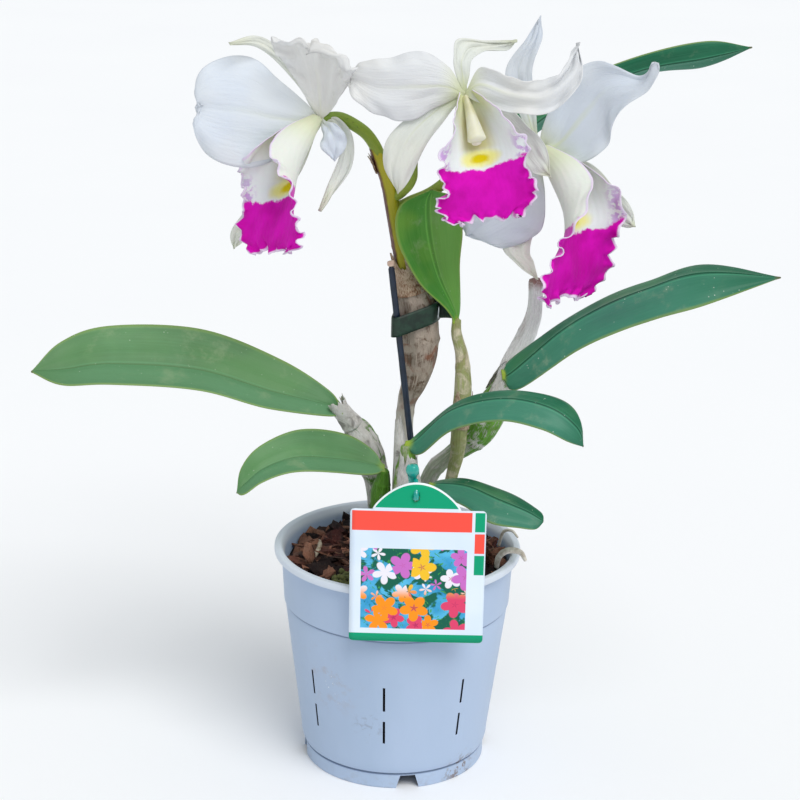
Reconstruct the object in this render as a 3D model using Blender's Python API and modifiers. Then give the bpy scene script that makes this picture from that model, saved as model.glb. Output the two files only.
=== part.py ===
"""Potted cattleya orchid: three flowers on one spike, seven leaves and their
pseudobulbs, growing in bark in a slotted plastic pot, with a stake and a label.

Frame: the pot's axis is +Z, the table is z = 0 and the front is -Y.
All sizes below are in millimetres; meshes are made in metres.
"""
import math

import bmesh
import bpy
from mathutils import Vector

MM = 0.001
GAP = 0.4            # clear space that touching pieces keep between them

# ---- driving dimensions of the pot -------------------------------------------------
POT_HEIGHT = 114.6
RIM_RADIUS = 62.5
RIM_BAND = 3.6       # height of the rolled rim's outer face
RIM_FLANGE = 3.5     # width of the rim's flat top
WALL = 1.6
LEDGE_HEIGHT = 85.4  # small step below the rim
LEDGE_STEP = 0.5
LEDGE_RADIUS = 57.0
UNDER_RIM_RADIUS = 58.9
LOW_RADIUS = 48.4    # wall just above the rounded bottom edge
LOW_HEIGHT = 16.0
BODY_RADIUS = 47.1   # where the wall meets the foot
FLOOR_ROUND = 4.0    # how far the floor's rounded edge reaches in
FOOT_HEIGHT = 8.0
FOOT_RADIUS = 46.6
FOOT_WALL = 2.2
POT_STEPS = 48

SLIT_COLUMNS = 8
SLIT_TURN = -5.0     # degrees from the front to the nearest column of slits
SLIT_WIDTH = 1.2
SLITS = ((45.4, 59.0), (26.6, 39.4))     # bottom and top of each slit
NOTCH_TURN = 9.8     # degrees from the front to the nearest notch in the foot
NOTCH_TOP = 7.5      # width at the top and at the table
NOTCH_FOOT = 13.0
NOTCH_HIGH = 7.1

# ---- bark -------------------------------------------------------------------------
BARK_EDGE = 104.5
BARK_CROWN = 111.5
CHIP_BEVEL = 1.2
# centre, size, turn about Z and lean in degrees
BARK_CHIPS = {
    "bark_chip_1": ((-33, -30, 112.0), (17, 11, 6), 20, 12),
    "bark_chip_2": ((-44, -10, 111.0), (14, 10, 6), 75, -14),
    "bark_chip_3": ((-21, -41, 112.0), (13, 9, 7), -25, 18),
    "bark_chip_4": ((-26, 36, 112.0), (18, 12, 6), 40, 10),
    "bark_chip_5": ((37, 26, 112.0), (16, 11, 6), -35, -10),
    "bark_chip_6": ((31, -33, 112.0), (14, 10, 6), 60, 14),
}

# ---- label and its peg -------------------------------------------------------------
LABEL_LEFT = -22.0
LABEL_RIGHT = 42.5
LABEL_BOTTOM = 89.5
LABEL_TOP = 157.5
LABEL_DOME = 13.8    # how far the tab stands above the card
LABEL_DOME_FROM = -11.5
LABEL_DOME_TO = 30.5
DOME_POWER = 0.75    # below 1 the tab's shoulders are fuller than a cosine
LABEL_HOLE = (9.0, 163.5, 1.7)           # x, z, radius
LABEL_Y = -63.9
LABEL_THICK = 0.8

# ---- leaves: base, one edge, the other edge, tip -------------------------------------
LEAVES = {
    "leaf_left_long": ((-29, 4, 184),
        ((-36, 12, 191), (-61, 16, 205), (-100, 12, 221), (-144, 4, 224), (-167, -4, 218)),
        ((-34, 0, 180), (-64, -14, 189), (-97, -22, 199), (-140, -28, 204), (-163, -27, 203)),
        (-180, -18, 207)),
    "leaf_left_low": ((-7, -2, 155),
        ((-14, 4, 163), (-29, 4, 171), (-50, -4, 175), (-68, -14, 170)),
        ((-13, -8, 154), (-31, -20, 158), (-53, -30, 161), (-70, -34, 156)),
        (-77, -30, 149)),
    "leaf_upright": ((27, 4, 230),
        ((21, -1, 239), (8, -6, 254), (-2, -8, 274), (-2, -4, 290)),
        ((29, 8, 238), (28, 10, 257), (29, 10, 275), (26, 8, 291)),
        (13, 4, 297)),
    "leaf_right": ((54, 4, 203),
        ((57, 8, 212), (75, 9, 228), (98, 9, 243), (121, 6, 253), (146, 0, 264)),
        ((60, 0, 199), (85, -14, 223), (104, -20, 235), (121, -26, 244), (143, -30, 252)),
        (180, -20, 263)),
    "leaf_arched": ((3, -12, 171),
        ((13, -8, 180), (31, -14, 197), (53, -22, 204), (73, -30, 205), (85, -38, 199)),
        ((10, -18, 169), (25, -30, 186), (47, -42, 196), (67, -48, 194), (80, -48, 188)),
        (88, -44, 184)),
    "leaf_small": ((15, -20, 153),
        ((21, -14, 154), (34, -14, 155), (51, -20, 153), (63, -28, 149)),
        ((21, -26, 152), (33, -34, 151), (45, -40, 146), (60, -42, 144)),
        (70, -38, 144)),
    "leaf_back": ((11, 22, 252),
        ((12, 18, 266), (32, 28, 304), (61, 42, 333), (106, 52, 353), (146, 58, 363)),
        ((19, 28, 256), (44, 42, 292), (67, 52, 318), (114, 60, 344), (148, 65, 349)),
        (172, 65, 360)),
}
LEAF_THICK = 1.6
LEAF_FOLD = {        # depth of the channel over half the width
    "leaf_left_long": -0.25, "leaf_left_low": -0.25, "leaf_upright": 0.2,
    "leaf_right": -0.25, "leaf_arched": -0.2, "leaf_small": -0.2, "leaf_back": -0.25,
}

# ---- sepals and petals, in the same form ---------------------------------------------
PETALS = {
    "flower_1_sepal_top": ((-42, -4, 334),
        ((-44, -4, 341), (-51, -8, 359), (-67, -14, 372)),
        ((-48, -2, 339), (-57, -6, 355), (-70, -12, 365)),
        (-82, -18, 368)),
    "flower_1_petal_upper": ((-38, -12, 335),
        ((-44, -14, 343), (-52, -20, 359), (-58, -26, 371)),
        ((-33, -13, 340), (-25, -22, 351), (-18, -34, 363)),
        (-37, -32, 370)),
    "flower_1_petal_left": ((-43, -13, 331),
        ((-50, -12, 342), (-67, -12, 356), (-83, -14, 363), (-93, -18, 356)),
        ((-51, -15, 324), (-64, -18, 316), (-79, -20, 312), (-94, -22, 320)),
        (-96, -22, 340)),
    "flower_1_sepal_right": ((-34, -12, 328),
        ((-28, -12, 326), (-26, -13, 313), (-31, -15, 299)),
        ((-36, -11, 321), (-36, -12, 310), (-40, -14, 299)),
        (-40, -18, 290)),
    "flower_1_sepal_left": ((-44, -6, 324),
        ((-55, -4, 309), (-68, 0, 299), (-79, 3, 286)),
        ((-48, -2, 312), (-58, 3, 291), (-76, 7, 272)),
        (-83, 6, 266)),
    "flower_2_sepal_top": ((26, -21, 353),
        ((21, -22, 358), (21, -20, 368), (31, -14, 372)),
        ((29, -21, 357), (32, -18, 366), (41, -12, 367)),
        (51, -4, 371)),
    "flower_2_petal_left": ((21, -26, 351),
        ((18, -28, 361), (4, -29, 369), (-13, -24, 364), (-24, -18, 363)),
        ((16, -27, 346), (3, -29, 339), (-10, -26, 337), (-21, -21, 343)),
        (-28, -17, 355)),
    "flower_2_petal_right": ((30, -26, 351),
        ((33, -28, 361), (45, -32, 357), (61, -34, 357), (73, -32, 365)),
        ((36, -29, 346), (47, -33, 341), (64, -34, 341), (78, -32, 356)),
        (81, -28, 372)),
    "flower_2_sepal_left": ((19, -22, 342),
        ((7, -23, 340), (-7, -25, 326), (-9, -26, 314)),
        ((15, -25, 335), (10, -28, 325), (3, -28, 309)),
        (-2, -26, 301)),
    "flower_2_sepal_right": ((35, -20, 341),
        ((46, -19, 341), (58, -18, 332), (66, -17, 322)),
        ((39, -18, 335), (50, -17, 324), (59, -16, 312)),
        (70, -14, 308)),
    "flower_3_sepal_top": ((64, 15, 323),
        ((55, 14, 334), (47, 15, 350), (55, 18, 366)),
        ((62, 14, 334), (55, 14, 348), (59, 17, 363)),
        (63, 20, 379)),
    "flower_3_petal_right": ((70, 8, 319),
        ((67, 4, 333), (76, 2, 349), (91, 0, 360), (108, -6, 355)),
        ((79, 3, 314), (91, 0, 316), (97, -6, 333), (110, -12, 348)),
        (117, -16, 362)),
    "flower_3_petal_low": ((60, 10, 307),
        ((54, 14, 313), (39, 18, 305), (26, 19, 288)),
        ((62, 7, 294), (60, 7, 280), (47, 12, 270)),
        (30, 17, 276)),
    "flower_3_sepal_down": ((62, 18, 301),
        ((53, 17, 288), (50, 13, 271), (56, 8, 259)),
        ((69, 17, 288), (62, 13, 272), (64, 8, 261)),
        (65, 4, 253)),
    "flower_3_sepal_right": ((76, 12, 309),
        ((89, 13, 306), (100, 11, 300), (109, 6, 290)),
        ((85, 15, 294), (96, 13, 283), (105, 7, 280)),
        (113, 2, 282)),
}
PETAL_THICK = 1.0
PETAL_BULGE = 0.18

# ---- lips: place of the throat, directions of the tube and its open side, length ratio --
LIPS = {
    "flower_1": ((-45, -19, 325), (-0.52, -0.60, -0.60), (-0.45, -0.39, 0.80), 0.80),
    "flower_2": ((28, -32, 341), (0.20, -0.70, -0.68), (0.02, -0.69, 0.73), 0.72),
    "flower_3": ((75, -2, 305), (0.60, -0.55, -0.58), (0.54, -0.26, 0.80), 0.85),
}
# rows along the lip: underside offset, distance, arc radius, half angle, lean of the sides
LIP_ROWS = (
    (-4, 0, 4.5, 150, 0),
    (-7, 11, 9, 150, 0),
    (-10, 23, 13, 140, 0),
    (-12, 32, 17, 110, -3),
    (-18, 39, 22, 75, -3),
    (-26, 46, 28, 50, 0),
    (-35, 53, 30, 40, 1),
    (-42, 58, 28, 20, 2),
)
LIP_THICK = 1.0
COLUMN_START = 4.0   # along the tube, for a length ratio of 1
COLUMN_END = 28.0

# ---- stems and bulbs: points along the middle, and radius at each ----------------------
STEMS = {
    "bulb_left_long": (((-28, 9, 178), (-21, 12, 170), (-16, 15, 157), (-12, 17, 143), (-11, 18, 123)),
                       (4.0, 6.5, 7.5, 6.0, 4.5)),
    "bulb_left_low": (((-8, -1, 149), (-9, 0, 142), (-9, 1, 130), (-9, 2, 114)),
                      (3.4, 4.8, 4.6, 4.0)),
    "bulb_tied": (((1, 9, 251), (5, 9, 243), (8, 10, 229), (9, 10, 215), (7, 10, 199),
                   (3, 10, 186), (2, 10, 170), (2, 10, 150), (1, 10, 124)),
                  (5.0, 8.3, 9.4, 8.8, 6.8, 4.5, 4.6, 5.0, 4.6)),
    "bulb_slender": (((27, 4, 225), (30, 4, 213), (31, 4, 197), (30, 4, 180), (29, 4, 162),
                      (26, 4, 146), (23, 4, 126)),
                     (2.8, 3.2, 4.3, 4.2, 3.6, 3.0, 3.4)),
    "bulb_front_short": (((4, -12, 165), (4, -11, 156), (4, -10, 145), (5, -9, 130), (6, -8, 114)),
                         (4.0, 5.6, 6.2, 5.6, 4.6)),
    "bulb_right_old": (((50, 9, 196), (47, 10, 189), (44, 12, 180), (40, 14, 170), (34, 16, 163),
                        (26, 18, 156), (18, 19, 148), (13, 19, 136), (11, 19, 124)),
                       (4.4, 6.6, 8.4, 7.4, 5.4, 4.4, 4.2, 4.2, 4.0)),
    "bulb_small": (((15, -19, 147), (16, -16, 138), (17, -12, 126), (18, -10, 114)),
                   (3.0, 4.0, 4.4, 4.0)),
    "dry_stem_right": (((66, 18, 251), (66, 18, 239), (65, 18, 229), (60, 18, 216), (54, 16, 206)),
                       (3.4, 3.3, 4.0, 4.8, 4.0)),
    "rhizome": (((-20, 16, 117), (-6, 14, 117.5), (8, 15, 117.5), (20, 12, 117.5), (30, 4, 116.5)),
                (3.6, 4.6, 4.8, 4.6, 3.4)),
    "flower_spike": (((0, 8, 257), (-2, 8, 268), (-5, 6, 283), (-8, 4, 299), (-13, 2, 313)),
                     (3.8, 3.7, 3.4, 3.4, 3.0)),
    "pedicel_1": (((-14, 1, 317), (-19, -2, 324), (-26, -5, 330), (-34, -6, 333)),
                  (2.8, 2.9, 2.9, 2.6)),
    "pedicel_2": (((-0.9, 3.2, 296.5), (0, 0, 304), (3, -6, 318), (13, -14, 335), (25, -19, 346)),
                  (2.6, 2.8, 2.7, 2.6, 2.4)),
    "pedicel_3": (((1, 8, 290), (16, 11, 300), (36, 19, 314), (54, 20, 319), (63, 14, 315)),
                  (2.6, 2.7, 2.7, 2.7, 2.4)),
    "root_over_rim": (((50, -18, 109.5), (51, -20.5, 116.5), (55, -24, 121.5), (61, -26, 121.5), (64, -29, 118)),
                      (2.0, 2.2, 2.3, 2.1, 1.4)),
    "root_curled": (((52, 12, 109), (54, 9, 118), (58, 4, 121), (61, -3, 120)),
                    (1.2, 1.3, 1.2, 0.9)),
    "stake": (((-6, -4, 262), (0, -3.1, 215), (6, -2.2, 168), (13, -1.2, 113.5)),
              (1.6, 1.6, 1.6, 1.6)),
    "label_peg": (((7, -51, 106), (7, -52.5, 140), (7, -54, 168), (7, -56, 173.5), (7, -56, 177)),
                  (1.5, 1.5, 1.8, 3.2, 1.6)),
}

# ---- tie: a band round the tied bulb and the stake --------------------------------------
TIE_LOW = 226.0
TIE_HIGH = 236.0
TIE_LIFT = 0.28      # rise for each millimetre towards +X
TIE_BULB = (7.5, 10.0, 10.6)             # x, y, radius of the band round the bulb
TIE_STAKE = (-1.9, -3.4, 2.6)
TIE_THICK = 0.8
TIE_TAIL = (21.9, 10.0, 236.5)
TIE_TAIL_SIZE = (5.0, 0.8, 9.0)

COLOURS = {          # colour, roughness
    "pot_plastic": ((0.42, 0.52, 0.72), 0.45),
    "bark": ((0.10, 0.045, 0.025), 0.9),
    "leaf": ((0.10, 0.27, 0.09), 0.35),
    "bulb": ((0.33, 0.38, 0.16), 0.6),
    "dry_sheath": ((0.52, 0.44, 0.34), 0.75),
    "spike_green": ((0.20, 0.30, 0.05), 0.5),
    "petal": ((0.85, 0.86, 0.84), 0.5),
    "lip": ((0.75, 0.02, 0.50), 0.5),
    "column": ((0.85, 0.83, 0.55), 0.5),
    "root": ((0.55, 0.50, 0.42), 0.8),
    "stake_plastic": ((0.02, 0.04, 0.09), 0.4),
    "tie_plastic": ((0.03, 0.12, 0.08), 0.45),
    "label_card": ((0.03, 0.33, 0.18), 0.35),
    "peg_plastic": ((0.02, 0.42, 0.36), 0.3),
}


# ---- helpers -------------------------------------------------------------------------
def clear_scene():
    for obj in list(bpy.data.objects):
        bpy.data.objects.remove(obj, do_unlink=True)


def collection(name):
    group = bpy.data.collections.new(name)
    bpy.context.scene.collection.children.link(group)
    return group


def material(name):
    if name in bpy.data.materials:
        return bpy.data.materials[name]
    colour, roughness = COLOURS[name]
    mat = bpy.data.materials.new(name)
    mat.use_nodes = True
    shader = mat.node_tree.nodes["Principled BSDF"]
    shader.inputs["Base Color"].default_value = (*colour, 1.0)
    shader.inputs["Roughness"].default_value = roughness
    shader.inputs["Metallic"].default_value = 0.0
    return mat


def add_object(name, data, finish, group):
    obj = bpy.data.objects.new(name, data)
    group.objects.link(obj)
    if finish:
        data.materials.append(material(finish))
    return obj


def mesh_from(bm, name):
    mesh = bpy.data.meshes.new(name)
    bm.to_mesh(mesh)
    bm.free()
    return mesh


def along(points, t):
    """Point at 0 <= t <= 1 on a smooth curve through the given points."""
    count = len(points) - 1
    span = min(int(t * count), count - 1)
    u = t * count - span
    p1, p2 = Vector(points[span]), Vector(points[span + 1])
    p0 = Vector(points[span - 1]) if span else 2 * p1 - p2
    p3 = Vector(points[span + 2]) if span + 2 <= count else 2 * p2 - p1
    return 0.5 * (2 * p1 + (p2 - p0) * u + (2 * p0 - 5 * p1 + 4 * p2 - p3) * u ** 2
                  + (3 * p1 - 3 * p2 + p3 - p0) * u ** 3)


def value_along(values, t):
    return along([(v, 0, 0) for v in values], t).x


def tube(name, points, radii, finish, group, per_span=3):
    """Round stem through the points, with its radius changing along it."""
    steps = per_span * (len(points) - 1)
    curve = bpy.data.curves.new(name, "CURVE")
    curve.dimensions = "3D"
    curve.bevel_depth = MM
    curve.bevel_resolution = 2
    curve.use_fill_caps = True
    spline = curve.splines.new("POLY")
    spline.points.add(steps)
    for i, point in enumerate(spline.points):
        t = i / steps
        point.co = (*(along(points, t) * MM), 1.0)
        point.radius = max(value_along(radii, t), 0.5)
    return add_object(name, curve, finish, group)


def blade(name, rails, thickness, bulge, finish, group, neck=1.6, long_cuts=8, cross_cuts=4):
    """Leaf or petal: a sheet between two edges that meet at the base and the tip."""
    base, first, second, tip = rails
    left = (base, *first, tip)
    right = (base, *second, tip)
    bm = bmesh.new()
    bmesh.ops.create_grid(bm, x_segments=cross_cuts, y_segments=long_cuts, size=1.0)
    for vert in bm.verts:
        side, t = vert.co.x, (vert.co.y + 1) / 2
        middle = (along(left, t) + along(right, t)) / 2
        half = (along(right, t) - along(left, t)) / 2
        least = neck * (1 - t) + 0.5 * t
        if half.length < least:
            inner = min(max(t, 0.12), 0.88)
            half = (along(right, inner) - along(left, inner)).normalized() * least
        ahead = along(left, min(t + 0.02, 1)) + along(right, min(t + 0.02, 1))
        behind = along(left, max(t - 0.02, 0)) + along(right, max(t - 0.02, 0))
        normal = (ahead - behind).cross(half).normalized()
        vert.co = (middle + side * half + normal * bulge * half.length * (1 - side ** 2)) * MM
    obj = add_object(name, mesh_from(bm, name), finish, group)
    shell = obj.modifiers.new("thickness", "SOLIDIFY")
    shell.thickness = thickness * MM
    shell.offset = 0.0
    return obj


# ---- pot -----------------------------------------------------------------------------
def turned(name, profile, steps, finish, group):
    """Solid of revolution about Z; the profile runs down its outer side."""
    bm = bmesh.new()
    verts = [bm.verts.new((r * MM, 0, z * MM)) for r, z in profile]
    for first, second in zip(verts, verts[1:]):
        bm.edges.new((first, second))
    obj = add_object(name, mesh_from(bm, name), finish, group)
    screw = obj.modifiers.new("turn", "SCREW")
    screw.steps = steps
    screw.render_steps = steps
    screw.use_merge_vertices = True
    screw.merge_threshold = 0.00005
    return obj


def wall_radius(z):
    """Outer radius of the pot's wall at a height between the foot and the rim."""
    if z >= LEDGE_HEIGHT:
        rise = (z - LEDGE_HEIGHT) / (POT_HEIGHT - RIM_BAND - LEDGE_HEIGHT)
        return LEDGE_RADIUS + LEDGE_STEP + rise * (UNDER_RIM_RADIUS - LEDGE_RADIUS - LEDGE_STEP)
    rise = (z - LOW_HEIGHT) / (LEDGE_HEIGHT - LOW_HEIGHT)
    return LOW_RADIUS + rise * (LEDGE_RADIUS - LOW_RADIUS)


def inner_radius(z):
    """Inner radius of the wall, which runs straight from the floor's edge to the rim."""
    under_rim = POT_HEIGHT - RIM_BAND
    low = LOW_HEIGHT + WALL
    rise = (z - low) / (under_rim - low)
    return LOW_RADIUS - WALL + rise * (wall_radius(under_rim) - LOW_RADIUS)


def build_pot(group, cutters):
    inside = WALL + GAP
    floor_top = FOOT_HEIGHT + WALL
    under_rim = POT_HEIGHT - RIM_BAND
    profile = [
        (0, floor_top),
        (LOW_RADIUS - WALL - FLOOR_ROUND, floor_top),
        (inner_radius(LOW_HEIGHT + WALL), LOW_HEIGHT + WALL),
        (inner_radius(under_rim), under_rim),
        (RIM_RADIUS - RIM_FLANGE, POT_HEIGHT),
        (RIM_RADIUS - 0.8, POT_HEIGHT),
        (RIM_RADIUS, POT_HEIGHT - 0.8),
        (RIM_RADIUS, under_rim),
        (wall_radius(under_rim), under_rim),
        (wall_radius(LEDGE_HEIGHT), LEDGE_HEIGHT),
        (LEDGE_RADIUS, LEDGE_HEIGHT - 0.3),
        (LOW_RADIUS, LOW_HEIGHT),
        (BODY_RADIUS, FOOT_HEIGHT),
        (FOOT_RADIUS, FOOT_HEIGHT - 0.3),
        (FOOT_RADIUS, 0),
        (FOOT_RADIUS - FOOT_WALL, 0),
        (FOOT_RADIUS - FOOT_WALL, FOOT_HEIGHT),
        (0, FOOT_HEIGHT),
    ]
    pot = turned("pot", profile, POT_STEPS, "pot_plastic", group)

    bm = bmesh.new()
    for i in range(SLIT_COLUMNS):
        angle = math.radians(-90 + SLIT_TURN + 360 / SLIT_COLUMNS * i)
        for low, high in SLITS:
            middle = (low + high) / 2
            radius = wall_radius(middle)
            add_box(bm, (radius, 0, middle), (4 * inside, SLIT_WIDTH, high - low), angle)
    cut(pot, mesh_from(bm, "slits"), "slits", cutters)

    bm = bmesh.new()
    for i in range(4):
        angle = math.radians(-90 + NOTCH_TURN + 90 * i)
        add_box(bm, (FOOT_RADIUS, 0, NOTCH_HIGH / 2 - GAP), (4 * FOOT_WALL, NOTCH_FOOT, NOTCH_HIGH + 2 * GAP),
                angle, NOTCH_TOP / NOTCH_FOOT)
    cut(pot, mesh_from(bm, "foot_notches"), "foot_notches", cutters)
    return pot


def add_box(bm, centre, size, angle, top_scale=1.0):
    """Box in the bmesh, turned about Z, with its top narrowed along its width."""
    made = bmesh.ops.create_cube(bm, size=1.0)["verts"]
    for vert in made:
        narrow = top_scale if vert.co.z > 0 else 1.0
        x = centre[0] + vert.co.x * size[0]
        y = centre[1] + vert.co.y * size[1] * narrow
        z = centre[2] + vert.co.z * size[2]
        vert.co = Vector((x * math.cos(angle) - y * math.sin(angle),
                          x * math.sin(angle) + y * math.cos(angle), z)) * MM


def cut(obj, mesh, name, cutters):
    """Take the mesh away from the object, keeping it as a hidden cutter."""
    cutter = add_object(name, mesh, None, cutters)
    cutter.hide_render = True
    cutter.display_type = "WIRE"
    boolean = obj.modifiers.new(name, "BOOLEAN")
    boolean.object = cutter
    boolean.operation = "DIFFERENCE"
    boolean.solver = "EXACT"


# ---- bark ----------------------------------------------------------------------------
def build_bark(group):
    edge = inner_radius(BARK_EDGE) - GAP
    floor = FOOT_HEIGHT + WALL + GAP
    rings = 4
    top = [(edge * i / rings, BARK_CROWN + (BARK_EDGE - BARK_CROWN) * (i / rings) ** 2)
           for i in range(rings + 1)]
    bottom = [(inner_radius(LOW_HEIGHT + WALL) - 2 * GAP, LOW_HEIGHT + WALL),
              (LOW_RADIUS - WALL - FLOOR_ROUND - 2 * GAP, floor), (0, floor)]
    turned("bark_mix", top + bottom, POT_STEPS // 2, "bark", group)
    for name, (centre, size, turn, lean) in BARK_CHIPS.items():
        bm = bmesh.new()
        bmesh.ops.create_cube(bm, size=1.0)
        for vert in bm.verts:
            vert.co = Vector((vert.co.x * size[0], vert.co.y * size[1], vert.co.z * size[2])) * MM
        bmesh.ops.bevel(bm, geom=bm.edges[:], offset=CHIP_BEVEL * MM, segments=1, affect="EDGES",
                        profile=0.5, material=-1)
        chip = add_object(name, mesh_from(bm, name), "bark", group)
        chip.location = Vector(centre) * MM
        chip.rotation_euler = (math.radians(lean), 0, math.radians(turn))


# ---- lips and columns ----------------------------------------------------------------
def lip_frame(flower):
    """Throat, the lip's own X, Y (open side) and Z (along the tube), and its length ratio."""
    throat, axis, open_side = (Vector(v) for v in LIPS[flower][:3])
    z = axis.normalized()
    y = (open_side - open_side.dot(z) * z).normalized()
    return throat, y.cross(z), y, z, LIPS[flower][3]


def build_lip(flower, group, long_cuts=12, cross_cuts=10):
    throat, x, y, z, ratio = lip_frame(flower)
    name = flower + "_lip"
    bm = bmesh.new()
    bmesh.ops.create_grid(bm, x_segments=cross_cuts, y_segments=long_cuts, size=1.0)
    for vert in bm.verts:
        side, t = vert.co.x, (vert.co.y + 1) / 2
        low, far, radius, angle, lean = (value_along([row[k] for row in LIP_ROWS], t)
                                         for k in range(5))
        turn = math.radians(angle) * side
        rise = radius * (1 - math.cos(turn))
        place = (throat + x * radius * math.sin(turn) + y * (low * ratio + rise)
                 + z * (far * ratio + lean * (1 - math.cos(turn))))
        vert.co = place * MM
    obj = add_object(name, mesh_from(bm, name), "lip", group)
    shell = obj.modifiers.new("thickness", "SOLIDIFY")
    shell.thickness = LIP_THICK * MM
    shell.offset = 0.0

    start = throat + z * COLUMN_START * ratio
    end = throat + z * COLUMN_END * ratio
    tube(flower + "_column", (start, (start + end) / 2 + y * 0.5, end), (2.2, 3.4, 4.2),
         "column", group, per_span=4)


# ---- tie and label -------------------------------------------------------------------
def build_tie(group):
    """Band on the outline that a string round the bulb and the stake would take."""
    bm = bmesh.new()
    low, high = [], []
    count = 32
    for i in range(count):
        angle = 2 * math.pi * i / count
        normal = Vector((math.cos(angle), math.sin(angle)))
        x, y, r = max((TIE_BULB, TIE_STAKE), key=lambda c: c[0] * normal.x + c[1] * normal.y + c[2])
        place = Vector((x, y)) + normal * r
        lift = TIE_LIFT * place.x
        low.append(bm.verts.new(Vector((place.x, place.y, TIE_LOW + lift)) * MM))
        high.append(bm.verts.new(Vector((place.x, place.y, TIE_HIGH + lift)) * MM))
    for i in range(count):
        j = (i + 1) % count
        bm.faces.new((low[i], low[j], high[j], high[i]))
    band = add_object("tie_band", mesh_from(bm, "tie_band"), "tie_plastic", group)
    shell = band.modifiers.new("thickness", "SOLIDIFY")
    shell.thickness = TIE_THICK * MM
    shell.offset = 1.0

    bm = bmesh.new()
    add_box(bm, TIE_TAIL, TIE_TAIL_SIZE, 0.0)
    add_object("tie_tail", mesh_from(bm, "tie_tail"), "tie_plastic", group)


def build_label(group, cutters):
    """Card with a rounded tab on top and a hole for the peg."""
    curve = bpy.data.curves.new("label_card", "CURVE")
    curve.dimensions = "2D"
    curve.fill_mode = "BOTH"
    curve.extrude = LABEL_THICK / 2 * MM
    outline = [(LABEL_LEFT, LABEL_BOTTOM), (LABEL_RIGHT, LABEL_BOTTOM), (LABEL_RIGHT, LABEL_TOP)]
    middle = (LABEL_DOME_FROM + LABEL_DOME_TO) / 2
    half = (LABEL_DOME_TO - LABEL_DOME_FROM) / 2
    steps = 12
    for i in range(steps + 1):
        share = math.cos(math.pi * i / steps)
        rise = max(math.cos(math.pi / 2 * share), 0.0) ** DOME_POWER
        outline.append((middle + half * share, LABEL_TOP + LABEL_DOME * rise))
    outline.append((LABEL_LEFT, LABEL_TOP))
    spline = curve.splines.new("POLY")
    spline.points.add(len(outline) - 1)
    spline.use_cyclic_u = True
    for point, (x, z) in zip(spline.points, outline):
        point.co = (x * MM, z * MM, 0, 1)
    source = add_object("label_outline", curve, None, group)
    source.rotation_euler = (math.radians(90), 0, 0)
    source.location = (0, LABEL_Y * MM, 0)
    bpy.context.view_layer.update()
    mesh = bpy.data.meshes.new_from_object(source.evaluated_get(bpy.context.evaluated_depsgraph_get()))
    bm = bmesh.new()
    bm.from_mesh(mesh)
    bmesh.ops.remove_doubles(bm, verts=bm.verts[:], dist=0.00002)
    bm.to_mesh(mesh)
    bm.free()
    label = add_object("label_card", mesh, "label_card", group)
    label.matrix_world = source.matrix_world.copy()
    bpy.data.objects.remove(source, do_unlink=True)

    x, z, radius = LABEL_HOLE
    bm = bmesh.new()
    bmesh.ops.create_cone(bm, cap_ends=True, segments=12, radius1=radius * MM, radius2=radius * MM,
                          depth=6 * MM)
    mesh = mesh_from(bm, "peg_hole")
    cut(label, mesh, "peg_hole", cutters)
    hole = bpy.data.objects["peg_hole"]
    hole.rotation_euler = (math.radians(90), 0, 0)
    hole.location = (x * MM, LABEL_Y * MM, z * MM)


def main():
    clear_scene()
    group = collection("potted_orchid")
    cutters = collection("cutters")

    build_pot(group, cutters)
    build_bark(group)
    for name, rails in LEAVES.items():
        blade(name, rails, LEAF_THICK, LEAF_FOLD[name], "leaf", group, neck=2.6)
    for name, rails in PETALS.items():
        blade(name, rails, PETAL_THICK, PETAL_BULGE, "petal", group, long_cuts=7)
    for flower in LIPS:
        build_lip(flower, group)

    finishes = {"dry_stem_right": "dry_sheath", "bulb_tied": "dry_sheath", "rhizome": "dry_sheath",
                "flower_spike": "spike_green", "stake": "stake_plastic", "label_peg": "peg_plastic",
                "root_over_rim": "root", "root_curled": "root"}
    for name, (points, radii) in STEMS.items():
        finish = finishes.get(name, "spike_green" if name.startswith("pedicel") else "bulb")
        tube(name, points, radii, finish, group)
    build_tie(group)
    build_label(group, cutters)


main()
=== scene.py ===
"""Looks of the potted orchid: fine leaves, flowers, bulbs, bark, pot and label around the frame."""
import math
import random
from functools import cache

import bmesh
import bpy
from mathutils import Matrix, Vector, noise


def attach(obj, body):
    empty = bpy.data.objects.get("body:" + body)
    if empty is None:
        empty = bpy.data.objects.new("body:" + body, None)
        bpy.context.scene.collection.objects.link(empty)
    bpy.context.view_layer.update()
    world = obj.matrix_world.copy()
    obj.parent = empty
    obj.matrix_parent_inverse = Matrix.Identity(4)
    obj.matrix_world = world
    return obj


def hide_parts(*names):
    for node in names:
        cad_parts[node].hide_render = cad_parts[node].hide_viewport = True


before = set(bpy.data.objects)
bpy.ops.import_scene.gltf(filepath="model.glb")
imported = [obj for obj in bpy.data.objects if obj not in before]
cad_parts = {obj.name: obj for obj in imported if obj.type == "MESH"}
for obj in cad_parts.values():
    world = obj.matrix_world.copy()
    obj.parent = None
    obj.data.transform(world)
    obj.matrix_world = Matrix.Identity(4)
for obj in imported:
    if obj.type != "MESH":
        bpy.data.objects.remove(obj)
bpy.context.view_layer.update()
bpy.context.scene.view_settings.view_transform = "Standard"

MM = 0.001
FULL_TURN = 6.283                    # radians
ANY_TURN = (0, 6.28)                 # bounds of a random turn, in radians


# ---- shader maths
def srgb(red, green, blue):
    """Linear colour of an everyday 0 to 255 colour."""
    parts = (c / 255 for c in (red, green, blue))
    return tuple(c / 12.92 if c <= 0.04045 else ((c + 0.055) / 1.055) ** 2.4 for c in parts)


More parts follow.
